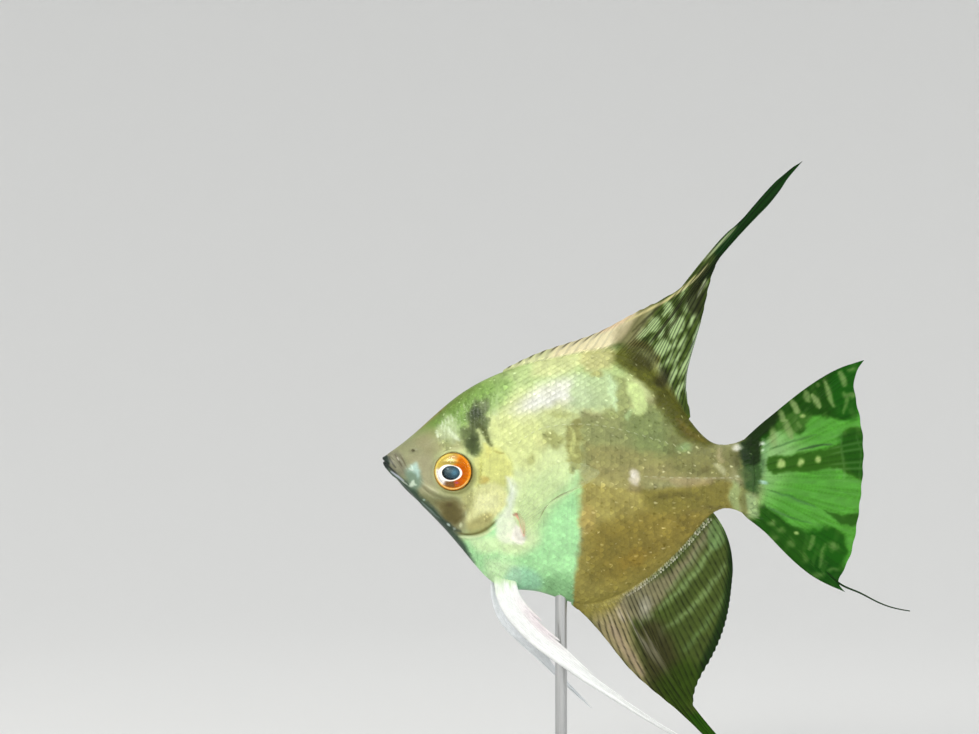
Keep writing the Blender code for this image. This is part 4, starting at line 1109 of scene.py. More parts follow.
@dataclass
class ScaleCoat:
    """One side's scales: thin domed plates in staggered rows, each lapping the two behind it."""

    name: str
    form: BodyForm
    side: int
    start: float
    end: float
    pitch: tuple[float, float]
    keep: Callable[[Array, Array], Array]
    lap: float = 1.75
    lift: float = 0.065
    sink: float = 0.1
    dome: float = 0.035
    thick: float = 0.045
    cells: tuple[int, int] = (4, 5)
    edge_margin: float = 0.975
    seed: int = 1

    def roots(self) -> tuple[Array, Array]:
        """Where the scales stand.

        Columns follow each other by the pitch along the body. In each column the scales are a pitch apart
        along the skin, counted from the widest level, and every second column is moved by half a pitch.

        Returns:
            x and height share of each scale.
        """
        share = np.linspace(-1, 1, 801)
        xs, shares = [], []
        for number, x in enumerate(np.arange(self.start, self.end, self.pitch[0])):
            ring = self.form.point(np.full(share.shape, x), share)
            run = np.concatenate([[0], np.cumsum(np.linalg.norm(np.diff(ring, axis=0), axis=1))])
            run -= run[400]
            steps = np.arange(np.ceil(run[0] / self.pitch[1]), np.floor(run[-1] / self.pitch[1]) + 1)
            places = (steps + 0.5 * (number % 2)) * self.pitch[1]
            places = places[(places > run[0]) & (places < run[-1])]
            shares.append(np.interp(places, run, share))
            xs.append(np.full(len(places), x))
        x, share = np.concatenate(xs), np.concatenate(shares)
        z = self.form.point(x, share)[:, 2]
        held = self.keep(x, z) & (np.abs(share) < self.edge_margin)
        return x[held], share[held]

    def lie(self, x: Array, share: Array) -> Array:
        """Slope of the scales' lie: along the body at mid height, along the outline at back and belly."""
        back = (spline(self.form.back)(x + 0.5) - spline(self.form.back)(x - 0.5))
        belly = (spline(self.form.belly)(x + 0.5) - spline(self.form.belly)(x - 0.5))
        return np.where(share > 0, back, belly) * np.clip(np.abs(share), 0, 1) ** 1.6

    def spread(self, x: Array, share: Array, run: Array, wide: Array) -> tuple[Array, Array]:
        """Carries steps on the plates over to the form, so that each plate bends with the skin.

        A step is run millimetres along the lie and wide millimetres across it. Written out in the form's two
        tangents it gives two linear equations for the steps in x and in the height share.

        Args:
            x, share: the scales' roots.
            run, wide: steps of each plate's points.
        Returns:
            x and height share of each plate's points.
        """
        small = 0.02
        here = self.form.point(x, share)
        by_x = (self.form.point(x + small, share) - here) / small
        inward = -0.004 * np.sign(share)
        by_share = (self.form.point(x, share + inward) - here) / inward[:, None]
        slope = self.lie(x, share)
        length = np.sqrt(1 + slope ** 2)
        along = np.column_stack([1 / length, 0 * x, slope / length])
        up = np.column_stack([-slope / length, 0 * x, 1 / length])
        normal = unit(np.cross(by_share, by_x))
        along = unit(along - normal * (along * normal).sum(1)[:, None])
        across = np.cross(normal, along)
        across *= np.sign((across * up).sum(1))[:, None]
        step = run[..., None] * along[:, None, None] + wide[..., None] * across[:, None, None]
        pairs = ((by_x, by_x), (by_x, by_share), (by_share, by_share))
        xx, xs, ss = ((a * b).sum(1)[:, None, None] for a, b in pairs)
        to_x, to_s = (step * by_x[:, None, None]).sum(-1), (step * by_share[:, None, None]).sum(-1)
        bottom = xx * ss - xs ** 2
        return (x[:, None, None] + (to_x * ss - to_s * xs) / bottom,
                np.clip(share[:, None, None] + (to_s * xx - to_x * xs) / bottom, -0.998, 0.998))

    def build(self, finish: bpy.types.Material) -> None:
        """The coat as one mesh.

        On each plate a runs 0..1 from root to rear edge and b runs -1..1 across. The plate is the lap times
        the pitch long, its rear corners are rounded by shortening it with b^2, and it narrows towards the
        root and the rear. Its height over the skin climbs from below it by a, and domes by 1 - b^2. Painted
        light: each plate is lighter towards its rear edge and a little darker at its sides, and painted
        glints of light, with dark specks of pigment, are stronger on the dark marks.
        """
        x, share = self.roots()
        rows, columns = self.cells
        a, b = np.meshgrid(np.linspace(0, 1, rows), np.linspace(-1, 1, columns), indexing="ij")
        random = np.random.default_rng(self.seed)
        x = x + 0.1 * self.pitch[0] * random.standard_normal(len(x))
        size = 1 + 0.08 * random.standard_normal(len(x))[:, None, None]
        tip = 1 + 0.35 * random.random(len(x))[:, None, None]
        run = self.lap * self.pitch[0] * size * (a * (1 - 0.42 * b ** 2 * a) - 0.35)
        wide = 0.62 * self.pitch[1] * size * b * (0.72 + 0.5 * a - 0.42 * a ** 3)
        climb = (self.sink + self.lift * tip) * a ** 1.2
        high = -self.sink + climb + self.dome * (1 - b ** 2) * (0.4 + 0.6 * a)
        base, _, normal = self.form.tangents(*self.spread(x, share, run, wide))
        out = rise(base[..., 0], base[..., 2])
        plates = np.stack([base + normal * (out + high - low)[..., None] for low in (0.0, self.thick)],
                          axis=1)
        places = plates.reshape(-1, 3)
        paint = MARKINGS.paint(places[:, 0], places[:, 2], self.side).reshape(len(x), 2, rows, columns, 4)
        # painted light: lighter towards the plate's rear edge, a little darker at its sides
        painted_shading = 0.955 + 0.07 * a ** 2 - 0.02 * b ** 2
        dark = 1 - ease(paint[..., 1:2], 165, 215)
        tint = 1 + (0.022 + 0.03 * dark) * random.standard_normal(len(x))[:, None, None, None, None]
        paint[..., :3] *= painted_shading[None, None, ..., None] * tint
        # painted glints of light, and dark specks of pigment on the dark marks
        glint_and_fleck = random.random((len(x), 1, rows, columns, 1))
        paint[..., :3] += dark * (44 * (glint_and_fleck < 0.014) - 26 * (glint_and_fleck > 0.98)) + 36 * (glint_and_fleck < 0.004)
        gleam = 0.7 + 0.6 * random.random(len(x))[:, None, None, None]
        paint[..., 3] = np.clip(paint[..., 3] * gleam, 0, 1)
        plate_piece(self.name, places * (1, self.side, 1), (rows, columns), paint,
                    self.unwrap(x, share, a, b), finish)

    def unwrap(self, x: Array, share: Array, a: Array, b: Array) -> Array:
        """The coat's OFBake map: each plate a small patch where its root lies on the skin.

        Args:
            x, share: the scales' roots, x over the body's length and the share up the side.
            a, b: places on the plate.
        Returns:
            u and v of each point of a plate's one face, by plate.
        """
        centre = np.column_stack([0.02 + 0.96 * x / BODY_LENGTH, 0.5 + 0.48 * share])[:, None]
        return centre + PATCH * np.column_stack([a.ravel() - 0.5, b.ravel() / 2])


def on_trunk(x: Array, z: Array) -> Array:
    """Whether a scale of the large coat stands there: behind the gill covers and the nape."""
    neck = np.interp(z, (-40, -19.5, -18.2, -13.4, -8, -2.6, 2.6, 4.6, 30),
                     (18, 18, 25, 31, 33, 33.4, 31.5, 27, 27))
    return (x > neck + 0.4) & ~((x < 36.4) & (z > -20.4) & (z < -11.2))


def on_head(x: Array, z: Array) -> Array:
    """Whether a scale of the small coat stands there: nape, cheek and gill cover, clear of eye and snout."""
    from_eye = np.hypot(x - EYE_CENTRE[0], z - EYE_CENTRE[1])
    nape = (z > 0.5) & (x > 12.5 + 0.25 * np.abs(z - 8)) & (x < 28.5)
    side = (z <= 0.5) & (x > 18.5) & (z > -16.2) & (x < 31.2) & (z > -15.5 - 0.6 * (x - 27))
    gill = depth_inside(x, z, Path((*GILL_REAR, *GILL_FRONT, GILL_REAR[0])).trace(60)[:-1])
    off_rim = (gill > 0.7) | (x < 26) | (z > 3.5)
    return (nape | (side & (gill > -3.0))) & (from_eye > 5.9) & off_rim & ~on_trunk(x, z)


# ------------------------------------------------------------------ fins

class Unpaired(Enum):
    """The three fins in the fish's middle plane."""

    DORSAL = "dorsal_fin"
    ANAL = "anal_fin"
    TAIL = "tail_fin"


@dataclass
class RayedFin:
    """A fin as one closed sheet: rays as ridges that fork towards the edge, and membrane between them."""

    node: str
    base: Curve
    edge: Curve
    leave: Knots
    arrive: Knots
    spread: Knots
    rays: Knots
    root_half: Curve
    paint: Callable[[Array, Array, Array, Array], Array]
    wave: float
    wave_length: float
    spines: float = 0.0
    columns: int = 420
    rows: int = 76
    membrane: float = 0.09
    ridge: float = 0.13
    notch: float = 0.25
    bow: float = 0.36
    fade: Knots = ((0, 0.0), (1, 0.0))
    thick_root: float = 3.2
    joints: float = 26.0

    def sheet(self, share: Array, t: Array) -> Array:
        """The fin's middle sheet in x and z.

        Each ray is a cubic Bezier curve: it leaves the base and reaches the edge at given angles, with
        handles a bow times the ray's length.

        Args:
            share: place along the base, one for each ray.
            t: share 0..1 along each ray, by ray and step.
        Returns:
            x and z by ray and step.
        """
        start, end = self.base(share), self.edge(linear(self.spread)(share))
        span = self.bow * np.linalg.norm(end - start, axis=1)[:, None]
        first, last = np.radians(spline(self.leave)(share)), np.radians(spline(self.arrive)(share))
        one = start + span * np.column_stack([np.cos(first), np.sin(first)])
        two = end - span * np.column_stack([np.cos(last), np.sin(last)])
        t = t[..., None]
        start, one, two, end = (p[:, None, :] for p in (start, one, two, end))
        return (1 - t) ** 3 * start + 3 * (1 - t) ** 2 * t * one + 3 * (1 - t) * t ** 2 * two + t ** 3 * end

    def ray_height(self, phase: Array, t: Array) -> Array:
        """Height 0..1 of the rays at a count along the fin: bell curves that part twice towards the edge.

        Args:
            phase: number of the ray, with the membranes at the halves.
            t: share along the ray.
        Returns:
            The height; spines stay whole, and soft rays carry cross joints.
        """
        within = from_whole(phase)
        soft = ease(phase, self.spines - 0.4, self.spines + 0.4)
        part = 0.17 * ease(t, 0.3, 0.75) * soft
        again = 0.07 * ease(t, 0.62, 1.0) * soft
        wide = 0.17 - 0.09 * ease(t, 0.25, 0.9) * soft
        branches = [bell(within - s * part - r * again, wide) for s in (-1, 1) for r in (-1, 1)]
        joints = 1 - 0.16 * soft * (0.5 + 0.5 * np.cos(2 * np.pi * self.joints * t + 3 * np.round(phase)))
        return np.max(branches, axis=0) * joints

    def ray_length(self, share: Array) -> Array:
        """Straight length of the ray at each share of the root."""
        return np.linalg.norm(self.edge(linear(self.spread)(share)) - self.base(share), axis=-1)

    def surface(self, share: Array, t: Array) -> tuple[Array, Array, Array, Array]:
        """The middle sheet bent by a slow wave, and the fin's half thickness.

        Args:
            share: place along the root, one for each ray.
            t: share along each ray, by ray and step.
        Returns:
            x, z, y and half thickness by ray and step, with the thick root fading over its own length.
        """
        phase = linear(self.rays)(share)[:, None]
        place = self.sheet(share, t)
        x, z = place[..., 0], place[..., 1]
        run = t * self.ray_length(share)[:, None]
        root = self.root_half(share)[:, None] * (1 - ease(run, 0.0, self.thick_root))
        ridge = self.ridge * (1 - 0.6 * t) * self.ray_height(phase + 0 * t, t)
        y = self.wave * np.sin((x + 0.6 * z) * 2 * np.pi / self.wave_length) * t ** 1.5
        return x, z, y, self.membrane * (1 - 0.45 * t) + ridge + root

    def build(self, finish: bpy.types.Material, slot: str) -> None:
        """The fin: both faces stand off the middle sheet by membrane, rays and the thick root."""
        share = np.linspace(0, 1, self.columns)
        phase = linear(self.rays)(share)[:, None]
        steps = np.linspace(0, 1, self.rows)[None, :]
        gap = 0.5 - 0.5 * np.cos(2 * np.pi * phase)
        t = steps * (1 - np.clip(self.notch * gap / self.ray_length(share)[:, None], 0, 0.3))
        x, z, y, half = self.surface(share, t)
        half *= 1 - 0.75 * ease(steps, 0.985, 1.0)
        colours = self.colours(x, z, share[:, None] + 0 * t, t)
        sheet_piece(self.node, np.stack([x, z], axis=-1), y, half, colours, finish, slot)

    def colours(self, x: Array, z: Array, share: Array, t: Array) -> Array:
        """The fin's paint, which comes out of the body's own colours over the fade's length from the root.

        Args:
            x, z, share, t: places, shares along the root and shares along the rays, in one shape.
        Returns:
            Display colours and clearness.
        """
        paint = self.paint(x, z, linear(self.rays)(share), t)
        reach = linear(self.fade)(share)
        run = t * self.ray_length(share.ravel()).reshape(share.shape)
        body = MARKINGS.paint(x, z, -1).reshape(*x.shape, 4)
        part = (1 - ease(run, 0.25 * reach, reach + 0.01)) * (reach > 0)
        blend(paint, body[..., :3], part)
        paint[..., 3] = np.maximum(paint[..., 3], part)
        return paint


@dataclass
class FinSheath:
    """Small scales that climb from the body on to the foot of a fin, on one side."""

    name: str
    fin: RayedFin
    side: int
    span: tuple[float, float]
    depth: Knots
    pitch: float
    gleam: Knots
    cells: tuple[int, int] = (4, 4)
    thick: float = 0.045
    white: Colour = (232, 228, 214)

    def build(self, finish: bpy.types.Material) -> None:
        """The sheath: rows of lapping plates on the fin's face, lifted towards their rear edge."""
        root = self.fin.base(np.linspace(*self.span, 200))
        width = float(np.linalg.norm(np.diff(root, axis=0), axis=1).sum()) / (self.span[1] - self.span[0])
        rows, columns = self.cells
        a, b = np.meshgrid(np.linspace(0, 1, rows), np.linspace(-1, 1, columns), indexing="ij")
        random = np.random.default_rng(40 + self.side)
        count = int(max(deep for _, deep in self.depth) / self.pitch) + 1
        steps = np.arange(self.span[0], self.span[1], self.pitch / width)
        start, row = (grid.ravel() for grid in np.meshgrid(steps, np.arange(count)))
        start = start + (0.5 * (row % 2) + 0.3 * (random.random(len(row)) - 0.5)) * self.pitch / width
        deep = linear(self.depth)(start) / self.pitch
        kept = (row < deep * (0.6 + 0.4 * random.random(len(row)))) & (start < self.span[1])
        start, row = start[kept], row[kept]
        length = self.fin.ray_length(start)[:, None, None]
        share = start[:, None, None] + 0.64 * self.pitch * b * (0.8 + 0.4 * a - 0.4 * a ** 3) / width
        run = 0.3 + self.pitch * (row[:, None, None] + 2.0 * a * (1 - 0.25 * b ** 2 * a) - 0.5)
        share, t = np.clip(share, 0, 1), np.clip(run / length, 0, 1)
        x, z, y, half = (grid.reshape(share.shape)
                         for grid in self.fin.surface(share.ravel(), t.reshape(-1, 1)))
        high = -0.1 + 0.14 * a + 0.03 * (1 - b ** 2)
        plates = np.stack([np.stack([x, y + self.side * (half + high - low), z], axis=-1)
                           for low in (0.0, self.thick)],
                          axis=1)
        paint = self.fin.colours(x, z, share, t)
        paint[..., :3] *= (1 + 0.06 * random.standard_normal(len(row)))[:, None, None, None]
        # the first two rows whiten into a pale rim of scales with painted sheen, brightest at each plate's
        # rear middle
        pale_rim_and_sheen = linear(self.gleam)(start) * (row < 2) * (0.25 + 0.75 * random.random(len(row)))
        pale_rim_and_sheen = pale_rim_and_sheen[:, None, None] * (0.35 + 0.65 * a * (1 - b ** 2))
        blend(paint, self.white, pale_rim_and_sheen)
        paint[..., 3] = 0.4
        plate_piece(self.name, plates.reshape(-1, 3), self.cells, np.repeat(paint[:, None], 2, axis=1),
                    0.02 + 0.95 * np.stack([share, run / 60], axis=-1).reshape(len(row), -1, 2), finish)


def root_line(line: Knots, start: float, end: float, up: int, sink: float = 0.9) -> Curve:
    """The root of a fin along the back or the belly, a little inside the body.

    Args:
        line: the body's outline there.
        start, end: where the fin begins and ends.
        up: 1 on the back, -1 on the belly.
        sink: how deep the root lies.
    Returns:
        x and z as a function of the share along the root.
    """
    outline = spline(line)

    def at(share: Array) -> Array:
        """Points of the root."""
        x = start + (end - start) * share
        slope = (outline(x + 0.1) - outline(x - 0.1)) / 0.2
        deep = sink / np.sqrt(1 + slope ** 2)
        return np.column_stack([x + up * slope * deep, outline(x) - up * deep])

    return at


DORSAL_MARKS = (
    Mark((232, 222, 182), area(0.9, 0.4, (28, 20), (30, 25), (52, 33), (60, 37), (64, 39), (61.6, 33),
         (58, 29), (55, 27.5), (48, 24)), 1, 1),
    Mark((206, 214, 160), area(1.4, 0, (28, 20), (29, 24), (37, 28), (42, 28), (40, 23)), 0.7, 0.95),
    # painted highlight: a pink streak along the spiny front
    Mark((232, 186, 152), stroke(0.6, 0, 0.5, (53.5, 31.8), (58.4, 34), (63, 36.9)), 0.5),
    Mark((150, 140, 104), area(1.4, 0.8, (57, 30), (64, 38), (68, 40), (66, 34), (61, 28.5)), 0.7),
    Mark((40, 44, 20), stroke(0.3, 0.3, 0.34, (66.4, 28.6), (70.4, 33.6), (73.4, 37.8), (76.2, 42.4)), 0.85),
    Mark((62, 62, 34), stroke(0.3, 0.3, 0.26, (62, 31.6), (66, 35.6), (70.2, 39.4)), 0.8),
    Mark((48, 52, 26), stroke(0.3, 0.3, 0.26, (69.8, 30.6), (72.4, 33.8), (75, 37.6)), 0.7),
    Mark((92, 84, 40), area(1.2, 0.6, (60, 27.6), (63, 30), (67, 28), (68.6, 22.6), (66, 20.5)), 0.85, 1),
    Mark((44, 46, 16), spot(1.3, 0.6, 65.6, 25.8, 3, 2.1, -34), 0.88, 1),
    Mark((34, 36, 12), spot(0.9, 0.4, 69.6, 20.8, 2, 2.2, -40), 0.8),
    Mark((40, 44, 18), area(0.9, 0.6, (75.6, 37.6), (78.4, 36), (80.6, 44), (81.6, 49.4), (78.6, 46.4)), 0.8,
         1),
    Mark((16, 36, 8), area(0.9, 0.5, (79.4, 44.6), (83.4, 47), (88.6, 53), (86, 55), (82.6, 49.8)), 0.9, 1),
    Mark((8, 50, 2), area(0.9, 0.4, (83, 51.4), (86, 51.6), (95, 60.4), (104, 70), (108, 78), (98, 73),
         (90, 64), (83.4, 56.2)), 0.97, 1),
    Mark((206, 196, 140), stroke(0.28, 0, 0.34, (60, 34.2), (67, 37.9), (73, 41.4), (78.6, 46.6)), 0.9, 1),
    Mark((164, 176, 134), stroke(0.28, 0, 0.42, (79.8, 49.4), (84, 53.8), (88.6, 58.6)), 0.85),
    Mark((206, 200, 150), stroke(0.18, 0, 0.2, (73.6, 41.4), (78, 45.2), (81.6, 49.4)), 0.8),
    Mark((188, 196, 160), stroke(0.25, 0.3, 0.28, (78.6, 40.4), (79.8, 43.4), (81, 45.4)), 0.8),
)
DORSAL_SPOTS = ((64.8, 31.2, 1.8, 0.9), (67.6, 33.8, 2.1, 1.0), (69.6, 32.0, 1.8, 0.9),
                (71.0, 37.8, 1.7, 0.8), (72.4, 35.8, 1.3, 0.6), (73.4, 33.4, 2.9, 1.3),
                (69.3, 27.2, 3.0, 1.35), (68.2, 23.6, 1.5, 0.9), (74.8, 29.6, 1.8, 0.6),
                (76.8, 39.0, 2.3, 0.9), (77.7, 35.4, 1.8, 0.6), (72.4, 29.0, 1.7, 0.5),
                (75.8, 24.2, 3.3, 0.6), (72.4, 21.0, 2.4, 0.8), (74.2, 17.2, 2.4, 0.7),
                (80.2, 44.2, 1.6, 0.45), (78.4, 31.6, 1.9, 0.45), (66.2, 36.0, 1.5, 0.5),
                (71.5, 25.2, 2.0, 0.5), (73.6, 25.6, 2.0, 0.5), (75.0, 42.0, 1.4, 0.5),
                (66.9, 29.6, 1.2, 0.4))
"""Pale spots between the soft rays: place, half length along the rays, half width."""


def paint_dorsal(x: Array, z: Array, phase: Array, t: Array) -> Array:
    """Dark sheet, cream spiny front, rows of pale long spots between the soft rays and a dark streamer."""
    paint = ground(x, (62, 80, 26), 0.985)
    paint[..., :3] *= (1 + 0.24 * cloud(x - 0.55 * z, 0.4 * z, 1.1, 9))[..., None]
    lean = [55 + 14 * (px - 64) / 14 for px, _, _, _ in DORSAL_SPOTS]
    spots = tuple(Mark((178, 204, 144), spot(0.5, 0.8, px, pz, 1.15 * long, 1.15 * wide, turn, i),
                       0.9, 0.97)
                  for i, ((px, pz, long, wide), turn) in enumerate(zip(DORSAL_SPOTS, lean)))
    extra = (Mark((148, 152, 66), spot(0.4, 0.4, 68, 24.2, 1.9, 0.8, 62), 0.85),
             Mark((150, 176, 138), stroke(0.4, 0.3, 0.5, (76.6, 12.4), (75.9, 18.6),
                                          (77.2, 26.6), (79.2, 34.6)),
                  0.7, 0.5))
    paint = layered(x, z, paint, spots + extra + DORSAL_MARKS)
    ray = bell(from_whole(phase), 0.17)
    dark_rays = 0.52 * ease(phase, 12, 16) * (1 - ease(phase, 37, 39)) * ray
    slashes = 0.1 * (1 - ease(phase, 10, 14)) * ease(np.sin(2 * np.pi * (phase + 0.8 * t)), 0.35, 0.9)
    tips = 0.62 * (1 - ease(phase, 8, 11)) * ray * ease(t, 0.5, 0.85)
    paint[..., :3] *= (1 - np.clip(dark_rays + slashes + tips, 0, 0.9))[..., None]
    return paint


ANAL_MARKS = (
    Mark((146, 136, 98), area(1.6, 0.5, (50, -36), (54, -44), (62, -53), (66, -57), (64, -49), (62, -42),
         (60, -35), (56, -33)), 1, 1),
    Mark((164, 146, 120), stroke(0.9, 0.5, 1.1, (56.5, -40.5), (60.4, -47), (65.6, -54.2)), 0.7),
    Mark((134, 126, 100), area(1.4, 0.5, (58, -33), (70, -28.5), (77, -22), (82, -16), (81, -20), (73, -31),
         (67, -38), (62, -40)), 0.8, 1),
    # painted glint: a pale smear on the fin's front
    Mark((176, 176, 166), spot(1.3, 1.5, 65.2, -37.2, 1.4, 2.6), 0.45),
    Mark((156, 172, 150), spot(0.8, 0.9, 69.6, -43.6, 1, 1.6), 0.35),
    Mark((128, 152, 96), stroke(0.9, 0.5, 0.75, (84.6, -18), (80.6, -24.4), (75.2, -31.2), (68.4, -38)),
         0.75, 0.97),
    Mark((126, 150, 94), stroke(0.9, 0.5, 0.75, (86.2, -24.6), (82.2, -30.8), (76.6, -37.4), (70, -42.6)),
         0.7, 0.97),
    Mark((108, 136, 80), stroke(0.9, 0.5, 0.7, (86.2, -32.6), (82.6, -38), (78.8, -43.4), (74.6, -48)),
         0.55),
    Mark((108, 132, 82), stroke(0.7, 0.5, 0.45, (80.6, -19.6), (76.6, -26), (70.4, -33.4)), 0.5),
    Mark((118, 152, 92), area(0.6, 0, (82.6, -14.6), (84.6, -15), (85.6, -20), (82.4, -22.5), (81, -19)),
         0.6, 0.85),
    Mark((16, 38, 6), stroke(1, 0.3, 1.7, (84.9, -15.2), (87.2, -22), (87.4, -30), (85, -41.4),
         (79.4, -54.4), (77.6, -62)), 0.85, 0.99),
    Mark((56, 52, 28), area(1.8, 0.8, (63, -42), (68, -40), (73, -47), (74, -56), (70, -60), (66, -54)),
         0.75, 1),
    Mark((46, 68, 10), area(2.2, 0.6, (68, -56), (76, -50), (80, -54), (77, -62), (82, -70), (92, -79),
         (80, -70), (70, -61)), 0.8, 1),
    Mark((40, 82, 2), area(1, 0, (76, -64), (79, -63), (86, -71.5), (93, -79), (84, -73.5)), 0.9, 1),
)


def paint_anal(x: Array, z: Array, phase: Array, t: Array) -> Array:
    """Olive brown sheet, mauve front with painted glints in streaks, greenish bands, dark rays, rear edge
    and tip.
    """
    paint = layered(x, z, ground(x, (66, 80, 32), 0.99), ANAL_MARKS)
    front = 1 - ease(phase, 11, 18)
    # painted glints: bright streaks on the membrane near the fin's front, close to the root
    glint_streak = front * ease(noise(1.4 * phase, 5.6 * t, 1.0, 12), 0.1, 0.8) * ease(t, 0.05, 0.2)
    blend(paint, (206, 196, 190), 0.4 * glint_streak * (1 - ease(t, 0.25, 0.55)))
    ray = bell(from_whole(phase) + 0.1 * noise(phase, 9 * t, 1.0, 5), 0.16)
    dash = 0.75 + 0.45 * noise(2 * np.round(phase), 30 * t, 1.0, 8)
    paint[..., :3] *= (1.05 - (0.42 + 0.12 * front) * ray * dash + 0.12 * cloud(x, z, 1.6, 6))[..., None]
    return paint


TAIL_MARKS = (
    # upper lobe: dark with pale checks
    Mark((24, 70, 2), area(0.6, 0.6, (90, 6), (99, 13.4), (110, 21.6), (121, 27), (119.4, 16), (116.6, 10.2),
         (106, 9.9), (104.6, 6.6), (99.4, 7.8), (96.2, 5), (92, 2.6)), 1, 0.97),
    Mark((18, 84, 2), area(1.4, 0.5, (112, 13), (113, 23), (121, 27), (119.4, 16), (117.4, 10.2),
         (114, 10.6)), 0.8, 0.97),
    Mark((78, 124, 48), area(0.7, 0.8, (98.4, 9.4), (102, 11.4), (106.4, 11.6), (105.4, 8.2), (102.6, 6.6),
         (99.6, 7)), 0.6, 0.94),
    # dark middle band that widens to the rear
    Mark((42, 88, 12), area(0.6, 0.6, (96.4, 0.6), (103, 1.4), (109, 2.6), (114, 4.2), (114.8, 6.8),
         (120.6, 7.6), (120.6, -5.2), (117, -4.2), (114.6, -2.6), (108, -3), (100, -3), (96.4, -3.1)), 0.92,
         0.96),
    Mark((22, 76, 4), area(0.8, 0.7, (113.4, 6), (120.4, 7.2), (120.4, -5), (117.4, -3.6), (115.6, -1)), 0.7,
         0.98),
    # lower lobe, clear again at its rear edge
    Mark((30, 82, 8), area(0.8, 0.8, (91, -16.4), (95, -11.5), (98.6, -13.4), (103.4, -16.9), (109, -17.6),
         (113.4, -17.4), (115.6, -20.4), (115.4, -27), (116, -34), (104, -27.6), (96, -19.4)), 1, 0.96),
    Mark((18, 88, 2), area(1.6, 0.8, (106, -18), (113, -18), (115, -21), (114.6, -28), (109, -29),
         (106.4, -24)), 0.6, 0.96),
    Mark((34, 80, 10), area(0.5, 0.7, (110.6, -12.8), (114.6, -13.6), (119.2, -14), (118.6, -15.9),
         (114.2, -15.6)), 0.85, 0.95),
    Mark((14, 66, 4), area(1, 0.7, (105, -26), (110, -24.6), (114, -27), (116.4, -34), (108, -30)), 0.6,
         0.97),
    Mark((40, 92, 20), stroke(0.6, 0.7, 0.6, (118.4, 9.6), (117, 13.4), (117.6, 16)), 0.6, 0.9),
    # dark threads in the clear windows
    Mark((64, 112, 48), stroke(0.3, 0.25, 0.22, (96.4, 2.6), (103.6, 5), (108.6, 6.4)), 0.7, 0.8),
    Mark((50, 84, 44), stroke(0.3, 0.2, 0.26, (103.4, 2.2), (108.4, 3.6), (112.6, 3.9)), 0.85, 0.85),
    Mark((58, 112, 56), stroke(0.4, 0.4, 0.25, (96.4, -7.6), (101.6, -9), (108.6, -12.2)), 0.6, 0.75),
    Mark((58, 106, 54), stroke(0.4, 0.3, 0.22, (96, -11.6), (101, -14), (107.6, -16)), 0.6, 0.75),
    # black bar and white glints at the root
    Mark((52, 88, 38), area(0.8, 0.6, (88, 2), (94.5, 1.6), (94.6, -6.4), (93.4, -9), (89, -8)), 0.9, 1),
    Mark((20, 42, 4), area(0.8, 0.7, (88, 5), (92, 7.8), (98.6, 13.2), (97.4, 8.2), (94.7, 5.6), (94.2, 0.4),
         (92, -1.6), (88, -1)), 0.95, 1),
    Mark((150, 176, 122), area(0.6, 0.6, (90.7, -8.4), (92.4, -8.8), (93.6, -11.4), (93.4, -14.4),
         (91.6, -13.4), (90.9, -11)), 0.85, 1),
    Mark((116, 160, 104), stroke(0.6, 0.7, 0.8, (95, 5.4), (95.4, 2.6), (95, -1), (95.4, -4.4)), 0.7, 0.9),
    Mark((236, 250, 232), spot(0.25, 0.6, 94.6, 3.9, 0.7, 0.4, -20), 0.85),
    Mark((224, 250, 216), spot(0.2, 0.3, 95, 2.4, 0.36, 0.26), 0.8),
    Mark((190, 240, 232), spot(0.35, 0.5, 95.2, -5.6, 1.1, 0.46), 0.85),
)
